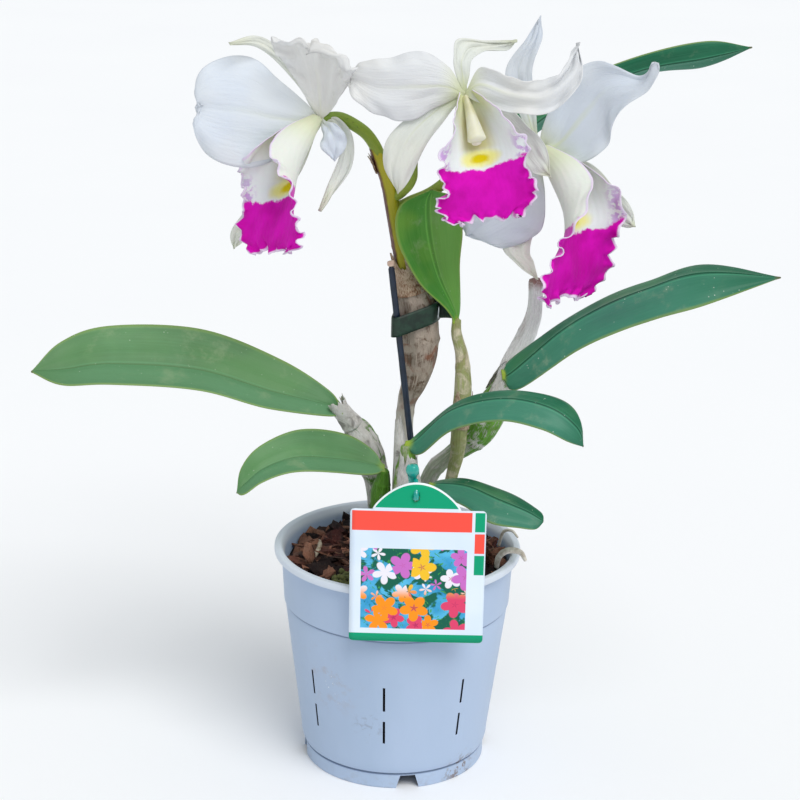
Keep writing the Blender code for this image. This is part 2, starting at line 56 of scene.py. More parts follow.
class Sock:
    """One output of a shader node; Python's operators on it add Math nodes."""

    def __init__(self, finish, out):
        self.finish = finish
        self.out = out

    def math(self, operation, *others, first=None):
        values = [self, *others] if first is None else [first, self]
        return self.finish.node("ShaderNodeMath", {"operation": operation}, dict(enumerate(values)))

    def __add__(self, other):
        return self.math("ADD", other)

    def __sub__(self, other):
        return self.math("SUBTRACT", other)

    def __mul__(self, other):
        return self.math("MULTIPLY", other)

    def __truediv__(self, other):
        return self.math("DIVIDE", other)

    def __rsub__(self, other):
        return self.math("SUBTRACT", first=other)

    __radd__ = __add__
    __rmul__ = __mul__

    def size(self):
        return self.math("ABSOLUTE")

    def wave(self):
        return self.math("SINE")

    def ramp(self, low, high):
        """0 below low and 1 above high, or the other way round when low is the larger."""
        return self.finish.node("ShaderNodeMapRange", {"interpolation_type": "SMOOTHSTEP"},
                                {"Value": self, "From Min": low, "From Max": high})


class Finish:
    """A Principled material put together from socket expressions."""

    def __init__(self, name, constants):
        self.material = bpy.data.materials.new(name)
        self.material.use_nodes = True
        self.tree = self.material.node_tree
        self.shader = self.tree.nodes["Principled BSDF"]
        for socket, value in constants.items():
            self.shader.inputs[socket].default_value = value
        self.place = self.node("ShaderNodeTexCoord", output="Object")
        self.uv = self.node("ShaderNodeTexCoord", output="UV")

    def node(self, kind, settings=None, inputs=None, output=0):
        made = self.tree.nodes.new(kind)
        for key, value in (settings or {}).items():
            setattr(made, key, value)
        for key, value in (inputs or {}).items():
            self.feed(made.inputs[key], value)
        return Sock(self, made.outputs[output])

    def feed(self, socket, value):
        if isinstance(value, Sock):
            self.tree.links.new(value.out, socket)
        elif value is not None:
            socket.default_value = value

    def across(self, vector=None):
        """First two parts of a vector, by default the surface's u and v."""
        first = self.node("ShaderNodeSeparateXYZ", inputs={0: vector or self.uv})
        return first, Sock(self, first.out.node.outputs[1])

    def stretched(self, vector, scale, place=(0, 0, 0), turn=(0, 0, 0)):
        return self.node("ShaderNodeMapping", {}, {0: vector, "Location": place, "Rotation": turn,
                                                   "Scale": scale})

    def noise(self, scale, detail=4.0, rough=0.55, vector=None, warp=0.0):
        return self.node("ShaderNodeTexNoise", {}, {"Vector": vector or self.place, "Scale": scale,
                                                    "Detail": detail, "Roughness": rough,
                                                    "Distortion": warp})

    def cells(self, scale, vector=None, output="Distance", feature="F1"):
        return self.node("ShaderNodeTexVoronoi", {"feature": feature},
                         {"Vector": vector or self.place, "Scale": scale}, output=output)

    def mix(self, first, second, factor):
        fed = [(*c, 1.0) if isinstance(c, tuple) else c for c in (first, second)]
        return self.node("ShaderNodeMix", {"data_type": "RGBA"}, {0: factor, 6: fed[0], 7: fed[1]},
                         output=2)

    def coats(self, colour, *coats):
        """The colour with each (colour, share) laid over it in turn; None is left out."""
        for over, share in coats:
            if over is not None:
                colour = self.mix(colour, over, share)
        return colour

    def bump(self, height, strength, distance):
        return self.node("ShaderNodeBump", {}, {"Height": height, "Strength": strength,
                                                "Distance": distance})

    def done(self, colour, roughness=None, normal=None):
        if isinstance(colour, tuple):
            colour = (*colour, 1.0)
        self.feed(self.shader.inputs["Base Color"], colour)
        self.feed(self.shader.inputs["Roughness"], roughness)
        self.feed(self.shader.inputs["Normal"], normal)
        return self.material


def tinted(colour, *shares):
    """Colour with its parts scaled, all by one share or each by its own."""
    return tuple(min(c * k, 1.0) for c, k in zip(colour, shares * 3 if len(shares) == 1 else shares))


def translucent(weight, radius):
    """Settings of a stuff that lets light some way in, by radius metres for each colour."""
    return {"Subsurface Weight": weight, "Subsurface Radius": radius, "Subsurface Scale": 1.0}


# ---- finishes: u runs across or round a piece and v from its base to its tip
MAGENTA_FROM = 0.515                 # share of the lip's length where the coloured lobe starts
# bluish grey of a white petal: painted blue shade of sky light
BLUE_SHADED_WHITE = srgb(207, 215, 227)
CREAM = srgb(206, 212, 160)
LEAF_DARK = srgb(10, 92, 62)
LEAF_LIGHT = srgb(66, 135, 104)
BROWN = srgb(96, 66, 44)
SILVER = srgb(186, 184, 176)


def leaf_finish(name, dark, light, under=False, rib=0.8, dust=0.6):
    """Waxy leaf with a paler margin, a yellow base and a groove along the middle; one half is painted lighter
    as if lit, with a painted bluish sheen, and the groove has painted shade with painted highlights beside
    it.
    """
    f = Finish(name, {"Coat Weight": 0.0 if under else 0.05, "Coat Roughness": 0.25,
                      "Specular IOR Level": 0.22})
    u, v = f.across()
    off = (u - 0.5).size()
    # half marks the side of the leaf that is painted lighter: painted light, as if that side of the fold
    # faces the lamp
    half = u.ramp(0.45, 0.55)
    groove = off.ramp(0.020, 0.0)
    streak = f.noise(5, 4, vector=f.stretched(f.uv, (9, 1.1, 1))).ramp(0.3, 0.75)
    haze = f.noise(75, 6, 0.65).ramp(0.52, 0.72) * f.noise(17, 2).ramp(0.42, 0.6)
    specks = f.cells(420).ramp(0.16, 0.07) * f.noise(160, 2).ramp(0.55, 0.62)
    colour = f.coats(
        f.mix(dark, light, f.noise(26, 3).ramp(0.35, 0.68) * 0.40 + streak * 0.30 + half * 0.30),
        # painted bluish sheen on the lighter half
        (tinted(light, 1.25, 1.03, 1.30), half * v.ramp(0.02, 0.25) * 0.5),
        (tinted(light, 1.65, 1.18, 0.80), f.noise(21, 3).ramp(0.44, 0.60) * (1 - half) * 0.45),
        (srgb(166, 176, 150), haze * 0.38),
        (dark, v.ramp(0.70, 0.98) * 0.7),
        # painted shade darkens the groove
        (tinted(dark, 0.5), groove * rib),
        # painted highlights along both sides of the groove
        (tinted(light, 1.5), off.ramp(0.05, 0.03) * off.ramp(0.018, 0.03) * 0.4),
        (srgb(150, 170, 84), off.ramp(0.455, 0.497) * 0.6),
        (srgb(156, 178, 50), (v + off * 0.1).ramp(0.15, 0.03) * 0.85),
        (srgb(104, 92, 60), v.ramp(0.982, 0.998) * 0.8),
        (srgb(215, 225, 215), specks * dust),
        (srgb(120, 156, 96) if under else None, 0.45))
    veins = (u * 90 + f.noise(6, 3) * 4).wave()
    relief = f.bump(veins * 0.05 + f.noise(90, 5) * 0.7 - groove * (3 * rib), 0.3, 0.0006)
    return f.done(colour, 0.36 + f.noise(70, 4) * 0.2, relief)


def petal_finish(name, body, base, veins=22, tip=None):
    """Crystalline white petal, tinted towards its base and sometimes its tip."""
    f = Finish(name, {"Specular IOR Level": 0.25} | translucent(0.2, (0.004, 0.0038, 0.0034)))
    u, v = f.across()
    warm = f.noise(22, 3).ramp(0.40, 0.62)
    colour = f.coats(
        body,
        (base, v.ramp(0.30, 0.02) * 0.75),
        (base, (u - 0.5).size().ramp(0.06, 0.0) * v.ramp(0.7, 0.2) * 0.35),
        (tip, v.ramp(0.80, 0.99) * 0.6),
        (tinted(body, 1.08, 1.04, 0.96), warm * 0.6))
    ribs = (u * (veins * FULL_TURN) + f.noise(22, 3) * 3.0).wave()
    creases = f.noise(3.2, 5, vector=f.stretched(f.uv, (6, 1.6, 1)), warp=0.8)
    relief = f.bump(ribs * 0.05 + creases * 1.6 + f.noise(900, 2) * 0.2, 0.35, 0.0008)
    return f.done(colour, 0.5 + warm * 0.1, relief)


def lip_finish(name, inside):
    """Lip: white tube with olive painted shade inside it, yellow throat, magenta front lobe with a pale
    ruffled margin.
    """
    f = Finish(name, {"Specular IOR Level": 0.06} | translucent(0.08, (0.003, 0.001, 0.002)))
    u, v = f.across()
    side = (u - 0.5).size() * 2
    wobble = (f.noise(150, 5, 0.65) - 0.5) * 0.13
    white = srgb(226, 230, 232) if inside else srgb(224, 227, 220)
    coats = [(srgb(206, 210, 150), v.ramp(0.26, 0.03) * (0.8 if inside else 0.55))]
    rich = f.mix(srgb(216, 18, 184), srgb(192, 10, 158), f.noise(70, 4).ramp(0.35, 0.7))
    if inside:
        # painted shade: olive-yellow on the tube's inner sides by the column, where the tube shades itself
        throat = v.ramp(0.06, 0.20) * v.ramp(0.42, 0.34) * side.ramp(0.50, 0.12)
        coats.append((srgb(192, 184, 116), throat * 0.85))
        for spot, middle, wide, tall, share in ((srgb(230, 224, 128), 0.435, 2.2, 13, 0.9),
                                                (srgb(212, 192, 16), 0.438, 5.0, 24, 1.0)):
            off_side = (side + wobble) * wide
            off_middle = (v + wobble * 0.4 - middle) * tall
            far = off_side * off_side + off_middle * off_middle
            coats.append((spot, far.ramp(1.25, 0.25) * share))
        lace = f.noise(330, 3).ramp(0.44, 0.56)
        coats.append((srgb(190, 140, 208), side.ramp(0.66, 0.86) * v.ramp(0.28, 0.40) * lace * 0.8))
    else:
        rich = f.mix(rich, srgb(214, 130, 204), 0.45)
    front = (v + side * side * 0.07 + wobble).ramp(MAGENTA_FROM - 0.010, MAGENTA_FROM + 0.012)
    edge = (v + wobble * 0.25).ramp(0.965, 0.985)
    flank = (side + wobble * 0.30).ramp(0.945, 0.978)
    coats += [(rich, front), (srgb(228, 214, 236), edge.math("MAXIMUM", flank) * 0.95)]
    ribs = (u * 120 + f.noise(40, 3) * 4).wave()
    relief = f.bump(ribs * 0.12 + f.noise(300, 4) * 0.9, 0.40, 0.0006)
    return f.done(f.coats(white, *coats), 0.6, relief)


def bulb_finish(name, flesh, paper, cover, blotch=BROWN, blotches=0.25, foot=None, crown=None):
    """Pseudobulb: ribbed flesh under a papery skin that covers part of it."""
    f = Finish(name, {"Specular IOR Level": 0.35})
    u, v = f.across()
    fibre = f.noise(7, 5, vector=f.stretched(f.uv, (18, 1.6, 1)), warp=0.3)
    patch = f.noise(120, 5, 0.6, warp=0.8) * 0.6 + fibre * 0.4
    skin = patch.ramp(0.72 - cover * 0.55, 0.80 - cover * 0.55)
    ends = v + (f.noise(90, 4) - 0.5) * 0.25
    net = f.cells(260, feature="DISTANCE_TO_EDGE").ramp(0.05, 0.0)
    colour = f.coats(
        f.mix(flesh, tinted(flesh, 0.66), fibre.ramp(0.35, 0.7)),
        (f.mix(paper, tinted(paper, 0.80), fibre.ramp(0.3, 0.72)), skin),
        (blotch, f.noise(60, 4, warp=1.2).ramp(0.56, 0.70) * blotches),
        (foot, ends.ramp(0.56, 0.70) * (0.6 + skin * 0.4)),
        (crown, ends.ramp(0.14, 0.02) * 0.85),
        (tinted(paper, 1.35), net * skin * 0.35))
    lines = (u * 113 + f.noise(60, 3) * 3).wave()
    relief = f.bump(skin + lines * 0.35 + fibre * 1.5 + f.noise(500, 4) * 0.6, 0.6, 0.0007)
    return f.done(colour, 0.52 + skin * 0.25, relief)


def stem_finish(name, one, other, dry=None):
    """Green stem that changes colour along itself, with a dry strip on one side if asked."""
    f = Finish(name, {"Specular IOR Level": 0.4, "Coat Weight": 0.15, "Coat Roughness": 0.4})
    u, v = f.across()
    fibre = f.noise(6, 4, vector=f.stretched(f.uv, (10, 2.5, 1)))
    torn = (u + fibre * 0.10).ramp(0.40, 0.46) * (u + fibre * 0.08).ramp(0.74, 0.66)
    rust = dry and f.mix(dry, srgb(120, 78, 52), f.noise(300, 4).ramp(0.5, 0.72))
    colour = f.coats(
        f.mix(one, other, fibre.ramp(0.3, 0.7) * 0.5 + v * 0.5),
        (rust, torn),
        (srgb(70, 60, 30), f.noise(700, 3).ramp(0.66, 0.72) * 0.5))
    relief = f.bump(fibre * 1.2 + f.noise(600, 3) * 0.4, 0.4, 0.0005)
    return f.done(colour, 0.42 + fibre * 0.15, relief)


def paper_finish(name, light, dark):
    f = Finish(name, {"Specular IOR Level": 0.25} | translucent(0.1, (0.002, 0.0015, 0.001)))
    fibre = f.noise(8, 6, vector=f.stretched(f.uv, (20, 1.2, 1)), warp=0.4)
    blots = f.noise(110, 5, 0.6, warp=0.6)
    colour = f.mix(light, dark, (fibre * 0.6 + blots * 0.4).ramp(0.42, 0.60))
    colour = f.mix(colour, tinted(dark, 0.45), blots.ramp(0.57, 0.66) * 0.7)
    return f.done(colour, 0.8, f.bump(fibre * 2 + f.noise(420, 4), 0.7, 0.0005))


def pot_finish():
    """Moulded grey-blue plastic with scuffs, dried water marks and soil on the foot, a painted highlight on
    the rim band and painted shade lines under the ledge step and in the foot groove.
    """
    f = Finish("pot_plastic_moulded", {"Specular IOR Level": 0.42} | translucent(0.06, (0.003, 0.003, 0.004)))
    height = f.node("ShaderNodeSeparateXYZ", inputs={0: f.place}, output=2)
    flow = f.noise(16, 4, vector=f.stretched(f.place, (1, 1, 0.35)))

    def near(x, y, z, low, high):
        """1 within low mm of a point on the wall, fading to 0 at high mm."""
        far = f.node("ShaderNodeVectorMath", {"operation": "DISTANCE"},
                     {0: f.place, 1: (x * MM, y * MM, z * MM)}, output="Value")
        return far.ramp(high * MM, low * MM)

    # painted shade: dark lines under the ledge step at 85 mm and in the foot groove at 8 mm
    step_shade_lines = (height - 0.0852).size().ramp(0.0009, 0.0003) + (height - 0.0081).size().ramp(0.0010, 0.0004)
    stain = near(-32, -42, 58, 5, 26) * f.noise(120, 6, 0.7).ramp(0.50, 0.66)
    smear = near(-12, -50, 36, 2, 12) * f.noise(260, 5, 0.7, warp=0.8).ramp(0.52, 0.64)
    crust = f.cells(520).ramp(0.20, 0.10) * near(-32, -42, 56, 4, 17) * f.noise(90, 3).ramp(0.50, 0.58)
    soil = near(35, -32, 3, 3, 15) * f.noise(300, 5, 0.7).ramp(0.50, 0.60)
    # greyer in patches towards the bottom
    lower_grey_patches = height.ramp(0.012, 0.0) * f.noise(140, 5, 0.7).ramp(0.48, 0.74)
    colour = f.coats(
        f.mix(srgb(164, 184, 210), srgb(175, 193, 219), flow.ramp(0.3, 0.7)),
        # painted highlight: the rim band is lighter where light falls on it
        (srgb(214, 222, 232), height.ramp(0.1085, 0.1125) * 0.9),
        (srgb(112, 128, 156), step_shade_lines * 0.7),
        (srgb(168, 170, 184), stain * 0.6),
        (srgb(140, 148, 168), smear * 0.6),
        (srgb(232, 236, 240), crust),
        (srgb(112, 84, 60), soil * 0.8),
        (srgb(150, 152, 160), lower_grey_patches * 0.5))
    scratch = f.noise(40, 5, vector=f.stretched(f.place, (1, 1, 9), turn=(0.3, 0, 0))).ramp(0.66, 0.72)
    relief = f.bump(f.noise(420, 4) * 0.4 + f.noise(38, 3) * 1.2 + crust * 2.0, 0.25, 0.0004)
    return f.done(colour, 0.40 + scratch * 0.15 + stain * 0.2 + flow * 0.06, relief)


def bark_finish(name, dark, light, red):
    """Fir bark: flaky dark brown with paler fibres and painted shade in the hollows of the flakes; the tone
    attribute varies it by chip.
    """
    f = Finish(name, {"Specular IOR Level": 0.3})
    tone = f.node("ShaderNodeAttribute", {"attribute_name": "tone"}, output="Fac")
    flakes = f.noise(120, 6, 0.65, vector=f.stretched(f.place, (1, 1, 2.6)), warp=0.6)
    fibres = f.noise(420, 5, 0.7, vector=f.stretched(f.place, (3, 0.6, 1.0)))
    colour = f.coats(
        f.mix(dark, light, (tone * 1.05 + flakes * 0.5).ramp(0.62, 1.45)),
        (red, f.noise(60, 4).ramp(0.50, 0.66) * 0.6),
        (srgb(158, 128, 104), fibres.ramp(0.62, 0.78) * 0.55),
        # painted shade: the low hollows of the flakes, where the bump sinks, are darkened
        (tinted(dark, 0.35), flakes.ramp(0.42, 0.26) * 0.8))
    return f.done(colour, 0.86, f.bump(flakes * 3 + fibres * 1.4, 0.9, 0.0012))


def plain_finish(name, colour, other, roughness, grain=300, constants=None, depth=0.0004):
    """Small piece of one stuff, lightly mottled."""
    f = Finish(name, constants or {"Specular IOR Level": 0.5})
    cloud = f.noise(grain, 5)
    mottled = f.mix(colour, other, cloud.ramp(0.35, 0.7))
    return f.done(mottled, roughness + f.noise(grain * 0.4, 3) * 0.12, f.bump(cloud, 0.4, depth))


def label_finish():
    """Printed card: plain bands of colour and a picture area of loose coloured blossoms."""
    f = Finish("label_print", {"Coat Weight": 0.08, "Coat Roughness": 0.2, "Specular IOR Level": 0.15})
    x, z = f.across()                # in units of 100 mm from the card's lower left corner

    def span(value, low, high):
        """1 between two places in mm, with soft ends."""
        half, soft = (high - low) / 200, 0.0008
        return (value - (low + high) / 200).size().ramp(half + soft, half - soft)

    def panel(left, right, low, high):
        return span(x, left, right) * span(z, low, high)

    green, red = srgb(0, 160, 116), srgb(250, 84, 70)
    from_middle = ((x - DOME_MIDDLE / 100) / ((DOME_HALF - LABEL_EDGE) / 100)).size().math("MINIMUM", 1.0)
    inner = (from_middle * (math.pi / 2)).math("COSINE").math("POWER", DOME_POWER)
    above = z - inner * ((LABEL_DOME - LABEL_EDGE) / 100) - LABEL_HIGH / 100
    colour = f.coats(
        f.mix(srgb(228, 240, 253), srgb(216, 232, 250), f.noise(30, 2).ramp(0.3, 0.7)),
        (green, z.ramp(0.6885, 0.6900)),
        (srgb(238, 246, 250), above.ramp(-0.0004, 0.0006) * z.ramp(0.684, 0.686)),
        (red, panel(0.9, 57.8, 57.2, 67.2)),
        (green, panel(59.2, 63.9, 57.4, 67.2)),
        (red, panel(59.2, 63.9, 46.4, 56.4)),
        (green, panel(59.2, 63.9, 35.4, 45.4)),
        (green, z.ramp(0.042, 0.040)))

    sky = f.mix(srgb(92, 190, 232), srgb(44, 146, 200), f.noise(5, 3, vector=f.uv).ramp(0.35, 0.65))
    scene = f.coats(
        sky,
        (srgb(18, 98, 78), f.noise(7, 4, vector=f.uv, warp=1.2).ramp(0.47, 0.52)),
        (srgb(70, 160, 70), f.noise(26, 3, vector=f.uv, warp=2.0).ramp(0.60, 0.66)))
    flat = f.stretched(f.uv, (1, 1, 0))
    for scale, shift, width in ((9.0, 0.0, 0.46), (7.0, 4.3, 0.48)):
        moved = f.stretched(flat, (1, 1, 1), place=(shift, shift, 0))
        centre = f.cells(scale, vector=moved, output="Position")
        hue = f.node("ShaderNodeSeparateColor", inputs={0: f.cells(scale, vector=moved, output="Color")})
        away = f.node("ShaderNodeVectorMath", {"operation": "SUBTRACT"}, {0: moved, 1: centre})
        far = f.node("ShaderNodeVectorMath", {"operation": "LENGTH"}, {0: away}, output="Value") * scale
        away_x, away_y = f.across(away)
        lobes = (away_y.math("ARCTAN2", away_x) * 2.5 + hue * 9).wave().size()
        upper = f.mix(srgb(240, 236, 246), srgb(246, 196, 46), hue.ramp(0.40, 0.50))
        upper = f.mix(upper, srgb(204, 112, 200), hue.ramp(0.66, 0.74))
        tint = f.coats(
            f.mix(srgb(255, 150, 28), srgb(226, 70, 112), hue.ramp(0.45, 0.55)),
            (upper, z.ramp(0.22, 0.30)),
            (srgb(176, 40, 96), (far + lobes * 0.10).ramp(0.20, 0.10) * 0.8))
        scene = f.mix(scene, tint, (far - lobes * 0.22 - (width - 0.22)).ramp(0.03, -0.01))
    colour = f.mix(colour, scene, panel(5.4, 55.8, 6.8, 48.2))
    return f.done(colour, 0.32 + f.noise(50, 3) * 0.1, f.bump(f.noise(60, 3), 0.12, 0.0004))


# ---- geometry
SIDE_FALL, TIP_FALL = 8.8, 12        # how soon a sheet is full thick, from its sides and its tip
TIP_WIDTH = 0.3                      # least half width at a blade's tip, in mm


def along(points, t):
    """Point at 0 <= t <= 1 on a smooth curve through the given points."""
    count = len(points) - 1
    span = min(int(t * count), count - 1)
    u = t * count - span
    p1, p2 = Vector(points[span]), Vector(points[span + 1])
    p0 = Vector(points[span - 1]) if span else 2 * p1 - p2
    p3 = Vector(points[span + 2]) if span + 2 <= count else 2 * p2 - p1
    return 0.5 * (2 * p1 + (p2 - p0) * u + (2 * p0 - 5 * p1 + 4 * p2 - p3) * u ** 2
                  + (3 * p1 - 3 * p2 + p3 - p0) * u ** 3)


def value_along(values, t):
    """Number at t, read smoothly from evenly spaced ones."""
    return along([(v, 0, 0) for v in values], t).x


def ease(value, low, high):
    """Smooth step from 0 at low to 1 at high, or down when low is the larger."""
    share = min(max((value - low) / (high - low), 0.0), 1.0)
    return share * share * (3 - 2 * share)


def mesh_from(bm, name, smooth=True):
    """Mesh of a bmesh, which is then freed."""
    mesh = bpy.data.meshes.new(name)
    for face in bm.faces:
        face.smooth = smooth
    bm.to_mesh(mesh)
    bm.free()
    return mesh


def added(name, data):
    """New object in the scene."""
    obj = bpy.data.objects.new(name, data)
    bpy.context.scene.collection.objects.link(obj)
    return obj


def piece(name, bm, finishes, slot, *replaced, smooth=True):
    """Object for a finished shape, riding on the plant and standing for CAD nodes."""
    obj = added(name, mesh_from(bm, name, smooth))
    for finish in finishes:
        obj.data.materials.append(finish)
    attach(obj, "root")
    if replaced:
        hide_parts(*replaced)
    return obj


def to_metres(bm):
    bmesh.ops.scale(bm, vec=(MM, MM, MM), verts=bm.verts[:])
    return bm


def surface(place, cross, long, ripple=None, closed=False):
    """Sheet from place(side, t) in mm, side from -1 to 1; ripple moves it along its normal."""
    bm = bmesh.new()
    uv = bm.loops.layers.uv.new("UVMap")
    bmesh.ops.create_grid(bm, x_segments=cross, y_segments=long, size=1.0)
    at = {vert: (vert.co.x, (vert.co.y + 1) / 2) for vert in bm.verts}
    for face in bm.faces:
        for loop in face.loops:
            side, t = at[loop.vert]
            loop[uv].uv = ((side + 1) / 2, t)
    for vert, (side, t) in at.items():
        vert.co = place(side, t)
    if ripple:
        bm.normal_update()
        moves = {vert: vert.normal * ripple(side, t) for vert, (side, t) in at.items()}
        for vert, move in moves.items():
            vert.co += move
    if closed:
        bmesh.ops.remove_doubles(bm, verts=bm.verts[:], dist=0.004)
        bmesh.ops.recalc_face_normals(bm, faces=bm.faces[:])
    return to_metres(bm)


def thicken(obj, thickness, rim_share, under=0):
    """Wall of the sheet in mm, thinning to a share of that at its sides and tip."""
    group = obj.vertex_groups.new(name="middle")
    layer = obj.data.uv_layers["UVMap"].data
    for loop in obj.data.loops:
        u, v = layer[loop.index].uv
        inner = min(SIDE_FALL * u * (1 - u), 1.0) * min(TIP_FALL * (1 - v), 1.0)
        group.add([loop.vertex_index], inner, "REPLACE")
    shell = obj.modifiers.new("thickness", "SOLIDIFY")
    shell.thickness = thickness * MM
    shell.offset = 0.0
    shell.vertex_group = "middle"
    shell.thickness_vertex_group = rim_share
    shell.material_offset = under
    shell.use_quality_normals = True


def blade_place(rails, neck, bulge, keel=0.0, edge_curl=0.0):
    """Surface between two edges; neck is the least half width at its base, in mm."""
    base, first, second, tip = rails
    left = (base, *first, tip)
    right = (base, *second, tip)

    @cache
    def row(t):
        middle = (along(left, t) + along(right, t)) / 2
        half = (along(right, t) - along(left, t)) / 2
        least = neck * (1 - t) + TIP_WIDTH * t
        if half.length < least:
            inner = min(max(t, 0.12), 0.88)
            half = (along(right, inner) - along(left, inner)).normalized() * least
        ahead = along(left, min(t + 0.02, 1)) + along(right, min(t + 0.02, 1))
        behind = along(left, max(t - 0.02, 0)) + along(right, max(t - 0.02, 0))
        return middle, half, (ahead - behind).cross(half).normalized()

    def place(side, t):
        middle, half, normal = row(t)
        lift = bulge * (1 - side ** 2) + keel * (1 - min(abs(side) * 3.2, 1.0)) ** 1.5
        lift += edge_curl * max(abs(side) - 0.75, 0.0)
        return middle + side * half + normal * lift * half.length

    return place


# ---- leaves: base, one edge, the other edge, tip, in mm
LEAVES = {
    "leaf_left_long": ((-29, 4, 184),
        ((-36, 12, 191), (-61, 16, 205), (-100, 12, 221), (-144, 4, 224), (-167, -4, 218)),
        ((-35, 2, 181), (-64, -14, 189), (-97, -22, 199), (-140, -28, 204), (-163, -27, 203)),
        (-180, -18, 207)),
    "leaf_left_low": ((-7, -2, 155),
        ((-14, 4, 163), (-29, 4, 171), (-50, -4, 175), (-68, -14, 170), (-77, -21, 161)),
        ((-13, -8, 154), (-31, -20, 158), (-52, -30, 162), (-66, -34, 158), (-75, -35, 152)),
        (-79, -30, 151)),
    "leaf_upright": ((27, 4, 230),
        ((21, -1, 239), (8, -6, 254), (-2, -8, 274), (-2, -4, 290)),
        ((29, 8, 238), (28, 10, 257), (29, 10, 275), (26, 8, 291)),
        (13, 4, 297)),
    "leaf_right": ((50, 4, 204),
        ((55, 8, 212), (75, 9, 228), (98, 9, 243), (121, 6, 253), (146, 0, 264)),
        ((58, 0, 198), (85, -14, 223), (104, -20, 235), (121, -26, 244), (143, -30, 252)),
        (180, -20, 263)),
    "leaf_arched": ((3, -12, 171),
        ((13, -8, 180), (31, -14, 197), (53, -22, 204), (73, -30, 205), (85, -38, 199)),
        ((10, -18, 169), (25, -30, 186), (47, -42, 196), (67, -48, 194), (80, -48, 188)),
        (88, -44, 184)),
    "leaf_small": ((15, -20, 153),
        ((21, -14, 154), (34, -14, 155), (51, -20, 153), (64, -28, 149), (70, -34, 146)),
        ((21, -26, 151), (33, -35, 149), (45, -42, 143.5), (59, -43, 141.5), (67, -42, 140.5)),
        (71, -39, 143)),
    "leaf_back": ((11, 22, 252),
        ((12, 18, 266), (32, 28, 304), (61, 42, 333), (106, 52, 353), (146, 58, 363)),
        ((19, 28, 256), (44, 42, 292), (67, 52, 318), (114, 60, 344), (148, 65, 349)),
        (172, 65, 360)),
}
LEAF_FOLD = {"leaf_upright": 0.2, "leaf_arched": -0.2, "leaf_small": -0.2}


def build_leaves():
    waxy = (leaf_finish("leaf_waxy_top", LEAF_DARK, LEAF_LIGHT),
            leaf_finish("leaf_waxy_under", LEAF_DARK, LEAF_LIGHT, under=True))
    fresh = (leaf_finish("leaf_fresh_top", srgb(60, 130, 44), srgb(98, 156, 66), rib=0.3, dust=0.15),
             leaf_finish("leaf_fresh_under", srgb(70, 128, 50), srgb(108, 156, 74), under=True))
    for index, (name, rails) in enumerate(LEAVES.items()):
        phase = 1.7 * index

        def ripple(side, t):
            swell = 0.5 * math.sin(9 * t + phase) + 0.3 * math.sin(21 * t + 2 * phase)
            return swell * side * abs(side) * math.sin(math.pi * t)

        place = blade_place(rails, 2.6, LEAF_FOLD.get(name, -0.25), keel=-0.10, edge_curl=0.25)
        finishes = fresh if name == "leaf_upright" else waxy
        leaf = piece(name + "_blade", surface(place, 28, 90, ripple), finishes, "leaf", name)
        thicken(leaf, 1.7, 0.35, under=1)


